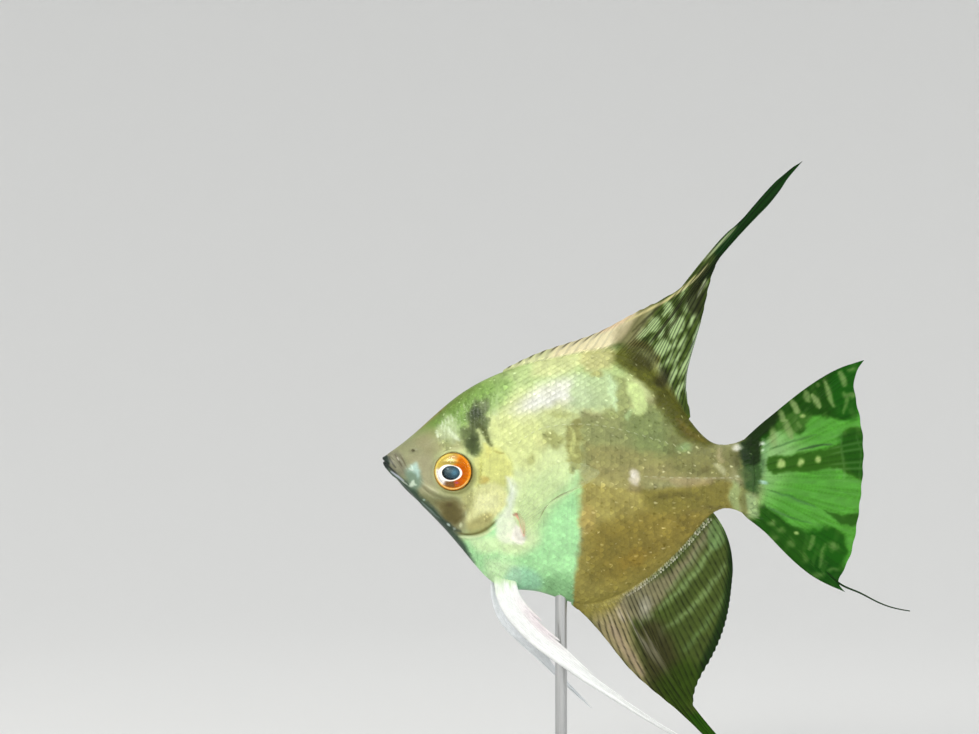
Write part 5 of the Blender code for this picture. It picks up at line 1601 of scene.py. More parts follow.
TAIL_SPOTS = tuple(Mark((136, 162, 100), cover, share, 0.95) for share, cover in (
    (0.8, stroke(0.4, 0.5, 0.8, (98.6, 12.6), (99.6, 11.2), (100.2, 9.6))),
    (0.75, spot(0.6, 0.5, 97.5, 6, 0.9, 2.6)),
    (0.85, stroke(0.4, 0.5, 0.8, (101.7, 15.2), (102.8, 13.4), (103.9, 11.4))),
    (0.7, stroke(0.4, 0.5, 0.7, (105, 17.6), (105.8, 16.2), (106.4, 14.4))),
    (0.85, stroke(0.4, 0.5, 0.75, (107, 16.8), (107.9, 15), (109, 12.8))),
    (0.5, stroke(0.4, 0.4, 0.5, (108.2, 19.4), (108.8, 18.2))),
    (0.75, stroke(0.4, 0.4, 0.6, (110, 20.2), (111, 17.4), (112.5, 13))),
    (0.65, stroke(0.4, 0.6, 0.7, (113.8, 22.6), (114.6, 20.6), (115.2, 18.4))),
    (0.5, stroke(0.5, 0.7, 0.6, (115, 17.6), (115.4, 15), (115, 11.6))),
    (0.6, spot(0.5, 0.8, 117, 16.2, 1.4, 0.7)),
    (0.5, spot(0.4, 0.6, 116.8, 22.4, 0.9, 0.5)),
    (0.75, stroke(0.5, 0.5, 0.8, (100.4, 10.2), (101.2, 7.8), (102.4, 5))),
    (0.4, stroke(0.4, 0.5, 0.5, (103.6, 9.6), (104.4, 8))),
    (0.6, spot(0.6, 0.8, 97, -15.6, 1, 0.8)),
    (0.5, spot(0.6, 0.8, 99.6, -17.6, 1.1, 0.7)),
    (0.45, spot(0.6, 0.8, 102.4, -21.2, 0.9, 0.8)),
    (0.4, spot(0.6, 0.8, 98, -19.6, 1, 0.6)),
    (0.5, stroke(0.4, 0.6, 0.6, (107.4, -18.6), (107.2, -20.6), (106.6, -23))),
    (0.5, stroke(0.6, 0.8, 0.6, (110.8, -21.2), (109.8, -24), (109.2, -27))),
    (0.5, spot(0.6, 0.8, 112.8, -22, 1.5, 0.7, -30)),
    (0.5, spot(0.5, 0.7, 109, -28.6, 1.2, 0.6)),
    (0.45, spot(0.5, 0.7, 112.6, -27.6, 1.2, 0.6)),
    (0.35, spot(0.5, 0.7, 105.4, -24.6, 0.7, 1.1)))) + tuple(
    Mark((172, 200, 120), cover, 0.9, 0.95) for cover in (
        spot(0.45, 0.5, 99.5, -1, 1.1, 0.9),
        spot(0.45, 0.5, 104.4, -0.5, 0.75, 1),
        spot(0.45, 0.5, 108.7, 0.1, 0.7, 0.9),
        spot(0.3, 0.2, 104.8, 11, 0.6, 0.4),
        spot(0.3, 0.2, 103.4, -18.4, 0.5, 0.4)))
"""Pale checks of the tail fin's lobes and middle band."""


def paint_tail(x: Array, z: Array, phase: Array, t: Array) -> Array:
    """Clear green windows, dark checked lobes, a dark band with pale dots, a black bar at the root."""
    paint = ground(x, (82, 158, 50), 0.85)
    blend(paint, (142, 186, 118), 0.9 * (1 - ease(x + 0.7 * np.abs(z - 2.5), 98, 111)))
    paint[..., :3] *= (1 + 0.1 * cloud(x, 2 * z, 2.2, 14))[..., None]
    paint = layered(x, z, paint, TAIL_MARKS[:10])
    lobes = ease(paint[..., 3], 0.89, 0.95) * ease(x, 95.5, 97) * ease(np.abs(z + 2.0), 7.0, 9.0)
    wave = np.hypot(x - 62, z + 4) / 3.8 + 0.22 * noise(0.9 * phase, 0.3 * x, 1.0, 3)
    cell = noise(np.floor(2.0 * phase), np.floor(wave), 1.0, 4)
    bars = ease(np.sin(2 * np.pi * wave), 0.1, 0.95) * ease(cell, -0.7, 0.6)
    blend(paint, (112, 140, 80), 0.22 * lobes * bars)
    net = np.maximum(bell(np.abs(from_whole(phase)) - 0.34, 0.07), bell(from_whole(wave), 0.06))
    band = ease(x, 110, 114) * (1 - ease(np.abs(z - 0.6), 4.5, 7.0))
    blend(paint, (120, 156, 110), 0.3 * net * band)
    paint = layered(x, z, paint, TAIL_SPOTS + TAIL_MARKS[10:])
    ray = bell(from_whole(phase), 0.16)
    forks = bell(np.abs(from_whole(phase)) - 0.17, 0.07) * ease(t, 0.35, 0.6)
    line = np.maximum(ray * (1 - ease(t, 0.35, 0.7)), forks)
    paint[..., :3] *= (1 - 0.16 * line * (0.7 + 0.3 * np.cos(2 * np.pi * x / 0.42)))[..., None]
    paint[..., 3] = np.clip(paint[..., 3] + 0.2 * line, 0, 1)
    return paint


@dataclass
class UnpairedFins:
    """Dorsal, anal and tail fin, and the tail's streamer."""

    form: BodyForm
    dark: bpy.types.Material
    scale: bpy.types.Material

    def dorsal(self) -> RayedFin:
        """The dorsal fin: thirteen spines, then soft rays drawn out to a streamer."""
        front = Path(((30.5, 22.9), (39, 26.9), (54.2, 32.2), (63.2, 37.0), (70.0, 40.4), (75.0, 43.6),
                      (79.4, 48.2), (84.2, 55.0), (90.2, 60.7), (95.0, 66.3), (100.3, 71.6), (105.3, 75.2)))
        rear = Path(((105.3, 75.2), (101.4, 70.6), (97.6, 65.2), (92.8, 60.2), (87.6, 54.7), (84.2, 50.4),
                     (82.0, 45.0), (80.6, 39.0), (78.8, 32.0), (77.2, 26.8), (75.8, 18.8), (76.9, 11.4)))
        return RayedFin(
            Unpaired.DORSAL.value, root_line(self.form.back, 29.0, 76.8, 1), chained(front, rear),
            leave=((0, 28), (0.3, 33), (0.6, 43), (0.7, 50), (0.76, 58), (0.8, 64), (0.86, 69), (1, 80)),
            arrive=((0, 28), (0.4, 32), (0.6, 45), (0.7, 49), (0.76, 46), (0.8, 46), (0.84, 56), (0.9, 72),
                    (1, 85)),
            spread=((0, 0), (0.6, 0.25), (0.74, 0.56), (0.8, 0.72), (1, 1)),
            rays=((0, 0.5), (0.6, 13.5), (1, 39.5)), root_half=linear(((0, 0.4), (0.1, 0.65), (1, 0.6))),
            fade=((0, 2.0), (0.5, 3.0), (0.75, 5.0), (1, 1.6)), paint=paint_dorsal, wave=1.2,
            wave_length=90, spines=13.5, columns=500, rows=80, notch=0.5, bow=0.4)

    def anal(self) -> RayedFin:
        """The anal fin: six spines, then soft rays that sweep down and back to a drawn-out tip."""
        front = Path(((47.4, -36.6), (50.4, -38.9), (53.0, -41.7), (55.8, -45.0), (61, -51.6), (68.1, -58.2),
                      (75.2, -64.1), (80.5, -69.2), (86, -73.8), (91.5, -77.3)))
        rear = Path(((91.5, -77.3), (86.6, -72.6), (81.4, -67.8), (78.0, -63.2), (77.9, -57.8),
                     (81.5, -50.3), (85.7, -39.8), (87.3, -28.5), (86.6, -18.6), (83.6, -14.6)))
        return RayedFin(
            Unpaired.ANAL.value, root_line(self.form.belly, 46.4, 82.6, -1), chained(front, rear),
            leave=((0, -44), (0.127, -56), (0.3, -66), (0.52, -68), (0.825, -62), (1, -48)),
            arrive=((0, -44), (0.127, -56), (0.336, -52), (0.424, -46), (0.51, -62), (0.65, -66),
                    (0.825, -72), (1, -92)),
            spread=((0, 0), (0.127, 0.034), (0.32, 0.266), (0.415, 0.467), (0.485, 0.614), (0.65, 0.717),
                    (0.817, 0.802), (1, 0.888)),
            rays=((0, 0.5), (0.127, 2.5), (0.3, 8.5), (1, 36.5)), root_half=linear(((0, 0.5), (1, 0.6))),
            fade=((0, 7.0), (0.127, 7.0), (0.27, 5.0), (0.39, 1.6), (1, 0.8)), paint=paint_anal, wave=1.5,
            wave_length=80, spines=8.5, columns=450, rows=86, ridge=0.2, notch=0.3)

    def tail(self) -> RayedFin:
        """The tail fin: a fan with two pointed corners."""
        top = Path(((91.8, 6.3), (95.4, 9.6), (99.3, 12.8), (108.2, 19.8), (115.0, 23.4), (120.2, 25.0)))
        rear = Path(((120.2, 25.0), (117.9, 21.0), (118.3, 14.2), (119.7, 6.5), (119.7, -4.5),
                     (118.2, -18.0), (115.4, -27.5), (114.2, -31.0), (115.8, -33.2)))
        foot = Path(((115.8, -33.2), (106.4, -28.4), (99.3, -21.6), (94.0, -16.8), (91.6, -15.0)))
        root = Path(((88.2, 3.4), (89.7, 0.0), (90.1, -4.6), (89.7, -9.2), (88.2, -11.8)))
        return RayedFin(
            Unpaired.TAIL.value, root, chained(top, rear, foot),
            leave=((0, 36), (0.5, 0), (1, -38)),
            arrive=((0, 34), (0.12, 30), (0.5, -1), (0.88, -36), (1, -40)),
            spread=((0, 0), (0.1, 0.24), (0.9, 0.78), (1, 1)), rays=((0, 0.5), (1, 17.5)),
            root_half=linear(((0, 0.3), (0.3, 1.1), (0.7, 1.1), (1, 0.3))),
            fade=((0, 6.6), (0.5, 5.9), (1, 7.2)), paint=paint_tail, wave=1.6, wave_length=70,
            columns=360, rows=100, ridge=0.14, notch=0.2)

    def streamer(self) -> None:
        """The thread at the tail's lower corner: a circle of shrinking radius carried along a path."""
        count, around = 60, 10
        route = Path(((108.0, -26.0), (110.0, -27.2), (114.6, -31.2), (118.9, -33.1), (123.4, -35.4),
                      (127.8, -37.0), (131.6, -37.7))).trace(count)
        sway = 1.6 * np.sin((route[:, 0] + 0.6 * route[:, 1]) * 2 * np.pi / 70)[:, None]
        radius = (0.34 - 0.2 * np.linspace(0, 1, count) ** 0.8)[:, None]
        turn = turns(around)
        slope = unit(np.gradient(route, axis=0))
        points = np.stack([route[:, :1] - slope[:, 1:] * radius * np.sin(turn), sway + radius * np.cos(turn),
                           route[:, 1:] + slope[:, :1] * radius * np.sin(turn)], axis=-1).reshape(-1, 3)
        piece = make_piece("tail_streamer", points, *tube_faces(count, around),
                           ground(points[:, 0], (16, 46, 6), 1.0))
        settle(piece, self.dark, "dark_fin")

    def build(self) -> None:
        """Makes the three fins, their sheaths of scales and the streamer."""
        dorsal, anal, tail = self.dorsal(), self.anal(), self.tail()
        for fin in (dorsal, anal, tail):
            fin.build(self.dark, "dark_fin")
        dull = ((0, 0.0), (1, 0.0))
        pale_rim_and_sheen = ((0, 0.1), (0.34, 0.2), (0.44, 0.8), (0.95, 0.95), (1, 0.5))
        sheaths = (("dorsal", dorsal, 0.03, ((0, 1.6), (0.5, 2.4), (0.8, 3.4), (1, 1.6)), 0.62, dull),
                   ("tail", tail, 0.03, ((0, 5.0), (0.5, 4.6), (1, 6.0)), 0.8, dull),
                   ("anal", anal, 0.1, ((0, 3.0), (0.127, 6.0), (0.27, 4.6), (0.39, 2.0), (1, 1.5)), 0.62,
                    pale_rim_and_sheen))
        for word, side in SIDES.items():
            for name, fin, first, *sizes in sheaths:
                FinSheath(f"{name}_sheath_{word}", fin, side, (first, 0.97), *sizes).build(self.scale)
        self.streamer()


@dataclass
class PectoralFin:
    """A clear fan at the side of the chest."""

    form: BodyForm
    word: str
    finish: bpy.types.Material
    rays: float = 13.0
    columns: int = 170
    rows: int = 44
    opening: float = 0.2

    def build(self) -> None:
        """The fan: straight rays from root to edge, standing off the flank by the opening's slope."""
        root = Path(((33.4, -12.4), (34.9, -18.0)))
        edge = Path(((34.6, -10.6), (37.6, -4.6), (43.0, -0.6), (49.0, -0.2), (53.6, -2.4), (47.4, -6.6),
                     (41.4, -10.2), (38.8, -14.6), (35.9, -18.3)))
        share = np.linspace(0, 1, self.columns)
        phase = 0.5 + self.rays * share[:, None]
        gap = 0.5 - 0.5 * np.cos(2 * np.pi * phase)
        t = np.linspace(0, 1, self.rows)[None, :] * (1 - 0.02 * gap)
        place = root(share)[:, None] * (1 - t[..., None]) + edge(share)[:, None] * t[..., None]
        x, z = place[..., 0], place[..., 1]
        foot = self.form.point(x[:, :1], self.form.share(x[:, :1], z[:, :1]))[..., 1]
        run = np.hypot(x - x[:, :1], z - z[:, :1])
        y = foot + 0.3 * (1 - t) + np.tan(self.opening) * run + 0.75 * ease(t, 0, 0.1)
        ray = bell(from_whole(phase), 0.16)
        half = 0.04 + 0.05 * ray * (1 - 0.7 * t) + 0.5 * (1 - ease(t, 0.0, 0.16))
        paint = ground(x, (206, 230, 176), 0.3)
        blend(paint, (226, 234, 196), 0.5 * ray)
        paint[..., 3] = 0.07 + 0.08 * ray * (1 - 0.6 * t) + 0.5 * (1 - ease(t, 0.0, 0.12))
        # painted shade: a dark band along the lower part of the fin's rear edge, for the shadow that edge
        # casts
        at = share[:, None]
        lower = ease(at, 0.55, 0.75) * (1 - ease(at, 0.8, 0.95)) * ease(t, 0.75, 0.97)
        blend(paint, (104, 92, 50), 0.8 * lower)
        paint[..., 3] = np.clip(paint[..., 3] + 0.5 * lower, 0, 1)
        node, side = f"pectoral_fin_{self.word}", SIDES[self.word]
        sheet_piece(node, place, side * y, half, paint, self.finish, "clear_fin")


@dataclass
class PelvicFin:
    """A long white feeler: flat strands that leave a wide root and lie together in a thread."""

    word: str
    route: Path
    width: Knots
    finish: bpy.types.Material
    colour: Colour
    root_y: float = 2.3
    tip_y: float = 8.0
    places: tuple[float, ...] = (-1.0, -0.7, -0.4, -0.12, 0.16, 0.42, 0.62, 0.8, 0.95)
    reaches: tuple[float, ...] = (1.0, 0.98, 0.9, 0.97, 0.8, 0.66, 0.52, 0.36, 0.26)
    count: int = 110
    around: int = 12

    def build(self) -> None:
        """The strands: flattened circles carried along lines beside the route, each to its own reach.

        A strand's line lies off the route by its place times half the width there. The short strands part
        from the others at their ends, and every strand narrows to a point. The root is sunk in the chest.
        """
        step = np.linspace(0, 1, self.count)[None, :]
        place, reach = np.array(self.places)[:, None], np.array(self.reaches)[:, None]
        share = step * reach
        centre = self.route(share)
        along = unit(np.gradient(centre, axis=1))
        across = np.stack([-along[..., 1], along[..., 0]], axis=-1)
        wide = spline(self.width)(share)
        free = (1 - reach) * step ** 3
        offset = 0.5 * wide * place * (1 - 0.12 * share) + 1.4 * free * place
        line = centre + offset[..., None] * across
        taper = np.sqrt(np.clip(1 - step ** 5, 0.002, 1))
        broad = (0.16 + 0.66 * wide / len(self.places)) * taper * (1 + 0.35 * (place < -0.9))
        thick = (0.13 + 0.5 * (1 - share) ** 2 + 0.12 * (place < -0.9)) * taper
        turn = turns(self.around)
        y = (self.root_y * (0.55 + 0.45 * ease(share, 0.02, 0.16))
             + (self.tip_y - self.root_y) * share ** 0.8 + 0.12 * np.cos(2.4 * place + 7 * share)
             + 0.5 * free)
        flat = line[:, :, None] + (broad[..., None] * np.cos(turn))[..., None] * across[:, :, None]
        side = y[..., None] + thick[..., None] * np.sin(turn)
        points = np.stack([flat[..., 0], SIDES[self.word] * side, flat[..., 1]], axis=-1)
        quads, caps = (repeated(faces, self.count * self.around, len(self.places))
                       for faces in tube_faces(self.count, self.around))
        paint = np.broadcast_to(self.paint(share, place)[:, :, None], (*points.shape[:3], 4)).copy()
        paint[..., :3] *= (0.95 + 0.05 * np.abs(np.cos(turn)))[:, None]
        piece = make_piece(f"pelvic_fin_{self.word}_feeler", points.reshape(-1, 3), quads, caps,
                           paint.reshape(-1, 4))
        settle(piece, self.finish, "feeler", f"pelvic_fin_{self.word}")

    def paint(self, share: Array, place: Array) -> Array:
        """Bluish white with a rosy stretch on the rear strands and faint streaks, pale mint at the root."""
        paint = ground(share + 0 * place, self.colour, 1.0)
        root = 1 - ease(share + 0.02 * noise(6 * place, 40 * share, 1.0, 2), 0.045, 0.1)
        blend(paint, (206, 236, 186), root)
        blend(paint, (228, 204, 212), 0.45 * (bell(share - 0.26, 0.12) * ease(place, 0.0, 0.7)))
        paint[..., :3] *= (1 + 0.03 * noise(60 * share, 5 * place + 0 * share, 1.0, 7))[..., None]
        return paint


# ------------------------------------------------------------------ eyes

@dataclass
class Eye:
    """An eyeball with a sunk iris and a bulging lens, under a clear cornea."""

    word: str
    iris_finish: bpy.types.Material
    cornea_finish: bpy.types.Material
    radius: float = 5.5
    half_depth: float = 2.7
    turn: float = 0.14
    pupil: tuple[float, float] = (2.3, 1.78)
    pupil_shift: tuple[float, float] = (-0.38, -0.28)

    def outward(self, local: Array) -> Array:
        """Carries eye points, u forwards to back, v up and h outwards, to the fish's frame."""
        side = SIDES[self.word]
        centre = box_centre(f"eye_{self.word}") - np.array(FISH.origin)
        u, v, h = local[..., 0], local[..., 1], local[..., 2]
        x = u * np.cos(self.turn) - h * np.sin(self.turn)
        y = h * np.cos(self.turn) + u * np.sin(self.turn)
        return np.stack([centre[0] + x, centre[1] + side * y, centre[2] + v], axis=-1)

    def cap(self, radius: Array) -> Array:
        """Height of the globe's front over its middle: an ellipse's arc."""
        return self.half_depth * np.sqrt(np.clip(1 - (radius / self.radius) ** 2, 0, 1))

    def from_pupil(self, u: Array, v: Array) -> tuple[Array, Array, Array]:
        """Places counted from the pupil's middle, and its ellipse's radius there, 1 at the edge."""
        pu, pv = u - self.pupil_shift[0], v - self.pupil_shift[1]
        return pu, pv, np.hypot(pu / self.pupil[0], pv / self.pupil[1])

    def iris_height(self, u: Array, v: Array) -> Array:
        """Height of the eyeball's front under the cornea.

        The iris slopes from its rim up to the pupil's edge, with fine radial folds, and the lens stands in
        the pupil as a shallow dome.
        """
        radius = np.hypot(u, v)
        _, _, pupil = self.from_pupil(u, v)
        folds = 0.012 * np.sin(46 * np.arctan2(v, u)) * ease(pupil, 1.1, 1.5)
        iris = 1.36 + 0.5 * (1 - ease(radius, 2.0, 4.5)) + folds
        lip = 0.12 * bell(pupil - 1.08, 0.07)
        lens = 1.5 + 0.6 * np.sqrt(np.clip(1 - (0.8 * pupil) ** 2, 0, 1))
        return np.where(pupil < 1, lens, np.minimum(iris + lip, self.cap(radius) - 0.1))

    def paint(self, u: Array, v: Array) -> Array:
        """Colours of pupil, white ring, orange and golden iris and the dark rim, with painted reflections
        and a painted highlight.

        Args:
            u, v: places on the eye, backwards and up.
        Returns:
            Display colours and 1, by place.
        """
        radius, angle = np.hypot(u, v), np.degrees(np.arctan2(v, u))
        pu, pv, pupil = self.from_pupil(u, v)
        paint = ground(u, (180, 92, 0), 1.0)

        def lay(colour: Colour, share: Array) -> None:
            """Lays a colour over the eye by a share."""
            blend(paint, colour, np.clip(share, 0, 1))

        def about(middle: float, reach: float) -> Array:
            """1 at an angle, fading to 0 at the reach on both sides."""
            away = np.abs((angle - middle + 180) % 360 - 180)
            return 1 - ease(away, 0.55 * reach, reach)

        def spots(x: float, z: float, wide: float, tall: float) -> Array:
            """A bell curve about a place."""
            return np.exp(-(((u - x) / wide) ** 2 + ((v - z) / tall) ** 2))

        lay((214, 132, 26), about(20, 80) * ease(radius, 3.7, 4.3))
        lay((162, 72, 0), 0.7 * about(-10, 62) * (1 - ease(radius, 2.7, 3.5)))
        lay((170, 150, 66), about(140, 84))
        lay((206, 186, 92), 0.8 * about(140, 60) * ease(radius, 3.9, 4.2))
        lay((180, 142, 92), 0.9 * spots(0.2, 3.6, 1.2, 0.5))
        # painted reflection: a soft cream streak high on the iris
        lay((240, 226, 168), spots(-0.5, 2.95 - 0.1 * (u + 0.5) ** 2, 1.5, 0.32))
        lay((128, 112, 56), 0.8 * spots(-0.4, 2.25, 1.9, 0.26))
        lay((104, 74, 44), 0.95 * about(-110, 44) * (1 - ease(radius, 3.7, 4.1)))
        lay((182, 84, 8), 0.8 * about(-62, 26))
        crescent = ease(-u - 0.5 * v, 1.3, 2.5) * (1 - ease(radius, 4.0, 4.4)) * about(202, 42)
        lay((224, 218, 212), crescent)
        lay((172, 166, 172), 0.7 * about(208, 44) * bell(radius - 3.75, 0.14))
        lay((222, 206, 140), 0.85 * about(-100, 90) * bell(radius - 4.25, 0.17))
        ring = 1.18 + 0.09 * np.cos(np.radians(angle - 205)) + 0.09 * np.cos(np.radians(2 * angle))
        lay((244, 238, 232), 1 - ease(pupil, ring, ring + 0.07))
        lay((150, 58, 128), 0.85 * spots(1.05, -2.72, 0.5, 0.3))
        streaks = noise(angle * 0.5, radius * 0.6, 1.0, 3)
        paint[..., :3] *= (1 + 0.09 * streaks * ease(pupil, 1.3, 1.5))[..., None]
        lay((138, 104, 40), 0.8 * ease(radius, 4.4, 4.6))
        lay((86, 70, 28), ease(radius, 4.58, 4.72))
        # pupil: near black lifted to blue-grey by painted reflection, with painted teal and grey
        # reflections, a black crescent at its lower left and a small painted white highlight
        lay((40, 56, 64), 1 - ease(pupil, 0.95, 1.0))
        lay((72, 122, 148), 0.85 * np.exp(-(((pu - 0.9) / 1.0) ** 2 + ((pv - 0.1) / 0.9) ** 2))
            * (pupil < 0.97))
        lay((110, 126, 128), 0.6 * np.exp(-(((pu + 0.4) / 1.1) ** 2 + ((pv - 0.5) / 0.6) ** 2))
            * (pupil < 0.97))
        lay((6, 8, 10), 0.95 * ease(pupil, 0.62, 0.9) * (pupil < 1) * about(222, 70))
        lay((196, 208, 214), 0.7 * np.exp(-(((pu + 0.75) / 0.22) ** 2 + ((pv - 1.0) / 0.14) ** 2)))
        return paint

    def disc(self, rings: int, around: int, reach: float) -> tuple[Array, Array]:
        """u and v of rings of points from the middle out to a radius."""
        radius = reach * np.linspace(0.004, 1, rings)[:, None]
        return radius * np.cos(turns(around)), radius * np.sin(turns(around))

    def closed(self, name: str, front: Array, back: Array, paint: Array | None, finish: bpy.types.Material,
               *nodes: str) -> None:
        """A closed piece from a front and a back set of rings that share their outermost radius."""
        points = np.concatenate([front, back[::-1]])
        colours = None if paint is None else np.concatenate([paint, paint[::-1]]).reshape(-1, 4)
        places = self.outward(points.reshape(-1, 3))
        piece = make_piece(name, places, *tube_faces(*points.shape[:2]), colours, sharp=1.0)
        settle(piece, finish, "eye", *nodes)

    def build(self) -> None:
        """Makes the eyeball and the cornea over it."""
        u, v = self.disc(110, 144, 4.75)
        front = np.stack([u, v, self.iris_height(u, v)], axis=-1)
        back = np.stack([u, v, -0.7 * self.cap(np.hypot(u, v))], axis=-1)
        self.closed(f"eyeball_{self.word}", front, back, self.paint(u, v), self.iris_finish,
                    f"eye_{self.word}")
        u, v = self.disc(40, 96, 4.95)
        outer = np.stack([u, v, self.cap(np.hypot(u, v))], axis=-1)
        self.closed(f"cornea_{self.word}", outer, outer - (0, 0, 0.06), None, self.cornea_finish)


@dataclass(frozen=True)
class CorneaFinish:
    """Clear wet film: glass that lets shadow rays through, so that the iris under it stays bright."""

    roughness: float = 0.06
    ior: float = 1.12

    def build(self) -> bpy.types.Material:
        """The material."""
        material, make, shader = new_material(
            "clear cornea", Base_Color=(1, 1, 1, 1), Roughness=self.roughness, Transmission_Weight=1.0,
            IOR=self.ior)
        choose = make.add("MixShader", Fac=make.add("LightPath").outputs["Is Shadow Ray"])
        make.feed(choose.inputs[1], shader.outputs[0])
        make.feed(choose.inputs[2], make.add("BsdfTransparent").outputs[0])
        make.feed(material.node_tree.nodes["Material Output"].inputs["Surface"], choose.outputs[0])
        return material


# ------------------------------------------------------------------ lateral line

@dataclass
class LateralLine:
    """The row of small sense tubes along each side, high in front and low behind."""

    form: BodyForm
    finish: bpy.types.Material
    upper: Path = Path(((34.0, 4.7), (38.3, 7.6), (42.0, 8.6), (48.2, 9.1), (56.0, 8.4), (66.0, 5.8),
                        (74.5, 3.2)))
    lower: Path = Path(((65.4, -3.9), (75.0, -4.3), (86.8, -4.4)))
    pitch: float = 1.9
    half_sizes: tuple[float, float, float] = (0.6, 0.17, 0.12)

    def build(self) -> None:
        """Makes each side's tubes: stretched domes, half sunk in the scales, along both paths."""
        routes = [path.trace(int(path.length / self.pitch)) for path in (self.upper, self.lower)]
        centre = np.concatenate(routes)
        lean = unit(np.concatenate([np.gradient(route, axis=0) for route in routes]))
        point, back, normal = self.form.tangents(centre[:, 0], self.form.share(centre[:, 0], centre[:, 1]))
        across = np.cross(normal, back)
        across *= np.sign(across[:, 2:3])
        along = back * lean[:, :1] + across * lean[:, 1:]
        rings, around = 9, 10
        run, turn = np.meshgrid(np.linspace(-1, 1, rings), turns(around), indexing="ij")
        body = np.sqrt(np.clip(1 - run ** 2, 0.004, 1))
        long, wide, high = self.half_sizes
        local = np.stack([long * run, wide * body * np.cos(turn), high * body * np.sin(turn) + high / 2],
                         axis=-1)
        places = (point[:, None, None] + sum(
            local[None, ..., k, None] * axis[:, None, None]
            for k, axis in enumerate((along, np.cross(normal, along), normal)))).reshape(-1, 3)
        quads, caps = (repeated(faces, rings * around, len(centre)) for faces in tube_faces(rings, around))
        for word, side in SIDES.items():
            paint = MARKINGS.paint(places[:, 0], places[:, 2], side)
            blend(paint, (232, 236, 208), 0.3)
            piece = make_piece(f"lateral_line_{word}", places * (1, side, 1), quads, caps, paint)
            settle(piece, self.finish, "skin")


# ------------------------------------------------------------------ stand and studio

@dataclass(frozen=True)
class LacquerFinish:
    """Black lacquer with faint dust and a soft swing in its gloss."""

    colour: Colour = (0.012, 0.012, 0.013)

    def build(self) -> bpy.types.Material:
        """The material."""
        material, make, shader = new_material("black lacquer", Coat_Weight=0.5, Coat_Roughness=0.08)
        place = make.add("TexCoord").outputs["Object"]
        broad = make.add("TexNoise", Scale=60.0, Detail=4.0, Vector=place).outputs["Fac"]
        dust = make.add("TexNoise", Scale=2600.0, Detail=2.0, Vector=place).outputs["Fac"]
        specks = make.math("MULTIPLY", make.math("GREATER_THAN", dust, 0.71), 0.35)
        make.feed(shader.inputs["Base Color"], make.mix(specks, (*self.colour, 1), (0.2, 0.2, 0.19, 1)))
        make.feed(shader.inputs["Roughness"], make.math("MULTIPLY_ADD", broad, 0.22, 0.16))
        make.bump(shader, broad, 0.08, 0.0002)
        return material


@dataclass(frozen=True)
class BrushedSteelFinish:
    """Steel drawn along its length: noise stretched along z makes fine upright scratches."""

    stretch: tuple[float, float, float] = (4000.0, 4000.0, 60.0)

    def build(self) -> bpy.types.Material:
        """The material."""
        material, make, shader = new_material("brushed steel", Metallic=1.0)
        scratch = make.add("Mapping", Scale=self.stretch, Vector=make.add("TexCoord").outputs["Object"])
        grain = make.add("TexNoise", Scale=1.0, Detail=3.0, Vector=scratch.outputs["Vector"]).outputs["Fac"]
        make.feed(shader.inputs["Base Color"], make.mix(grain, (0.42, 0.43, 0.44, 1), (0.68, 0.68, 0.67, 1)))
        make.feed(shader.inputs["Roughness"], make.math("MULTIPLY_ADD", grain, 0.25, 0.2))
        make.bump(shader, grain, 0.15, 0.00003)
        return material


@dataclass
class Stand:
    """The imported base, rod and collar: they keep their shapes, and each finish has its nodes."""

    lacquered: tuple[str, ...] = ("stand_base",)
    brushed: tuple[str, ...] = ("stand_rod", "stand_collar")

    def dress(self) -> None:
        """Gives the nodes their finishes."""
        for finish, nodes in ((LacquerFinish(), self.lacquered), (BrushedSteelFinish(), self.brushed)):
            material = finish.build()
            for node in nodes:
                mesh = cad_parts[node].data
                mesh.materials.clear()
                mesh.materials.append(material)
                LOG.info("%s: dressed", node)


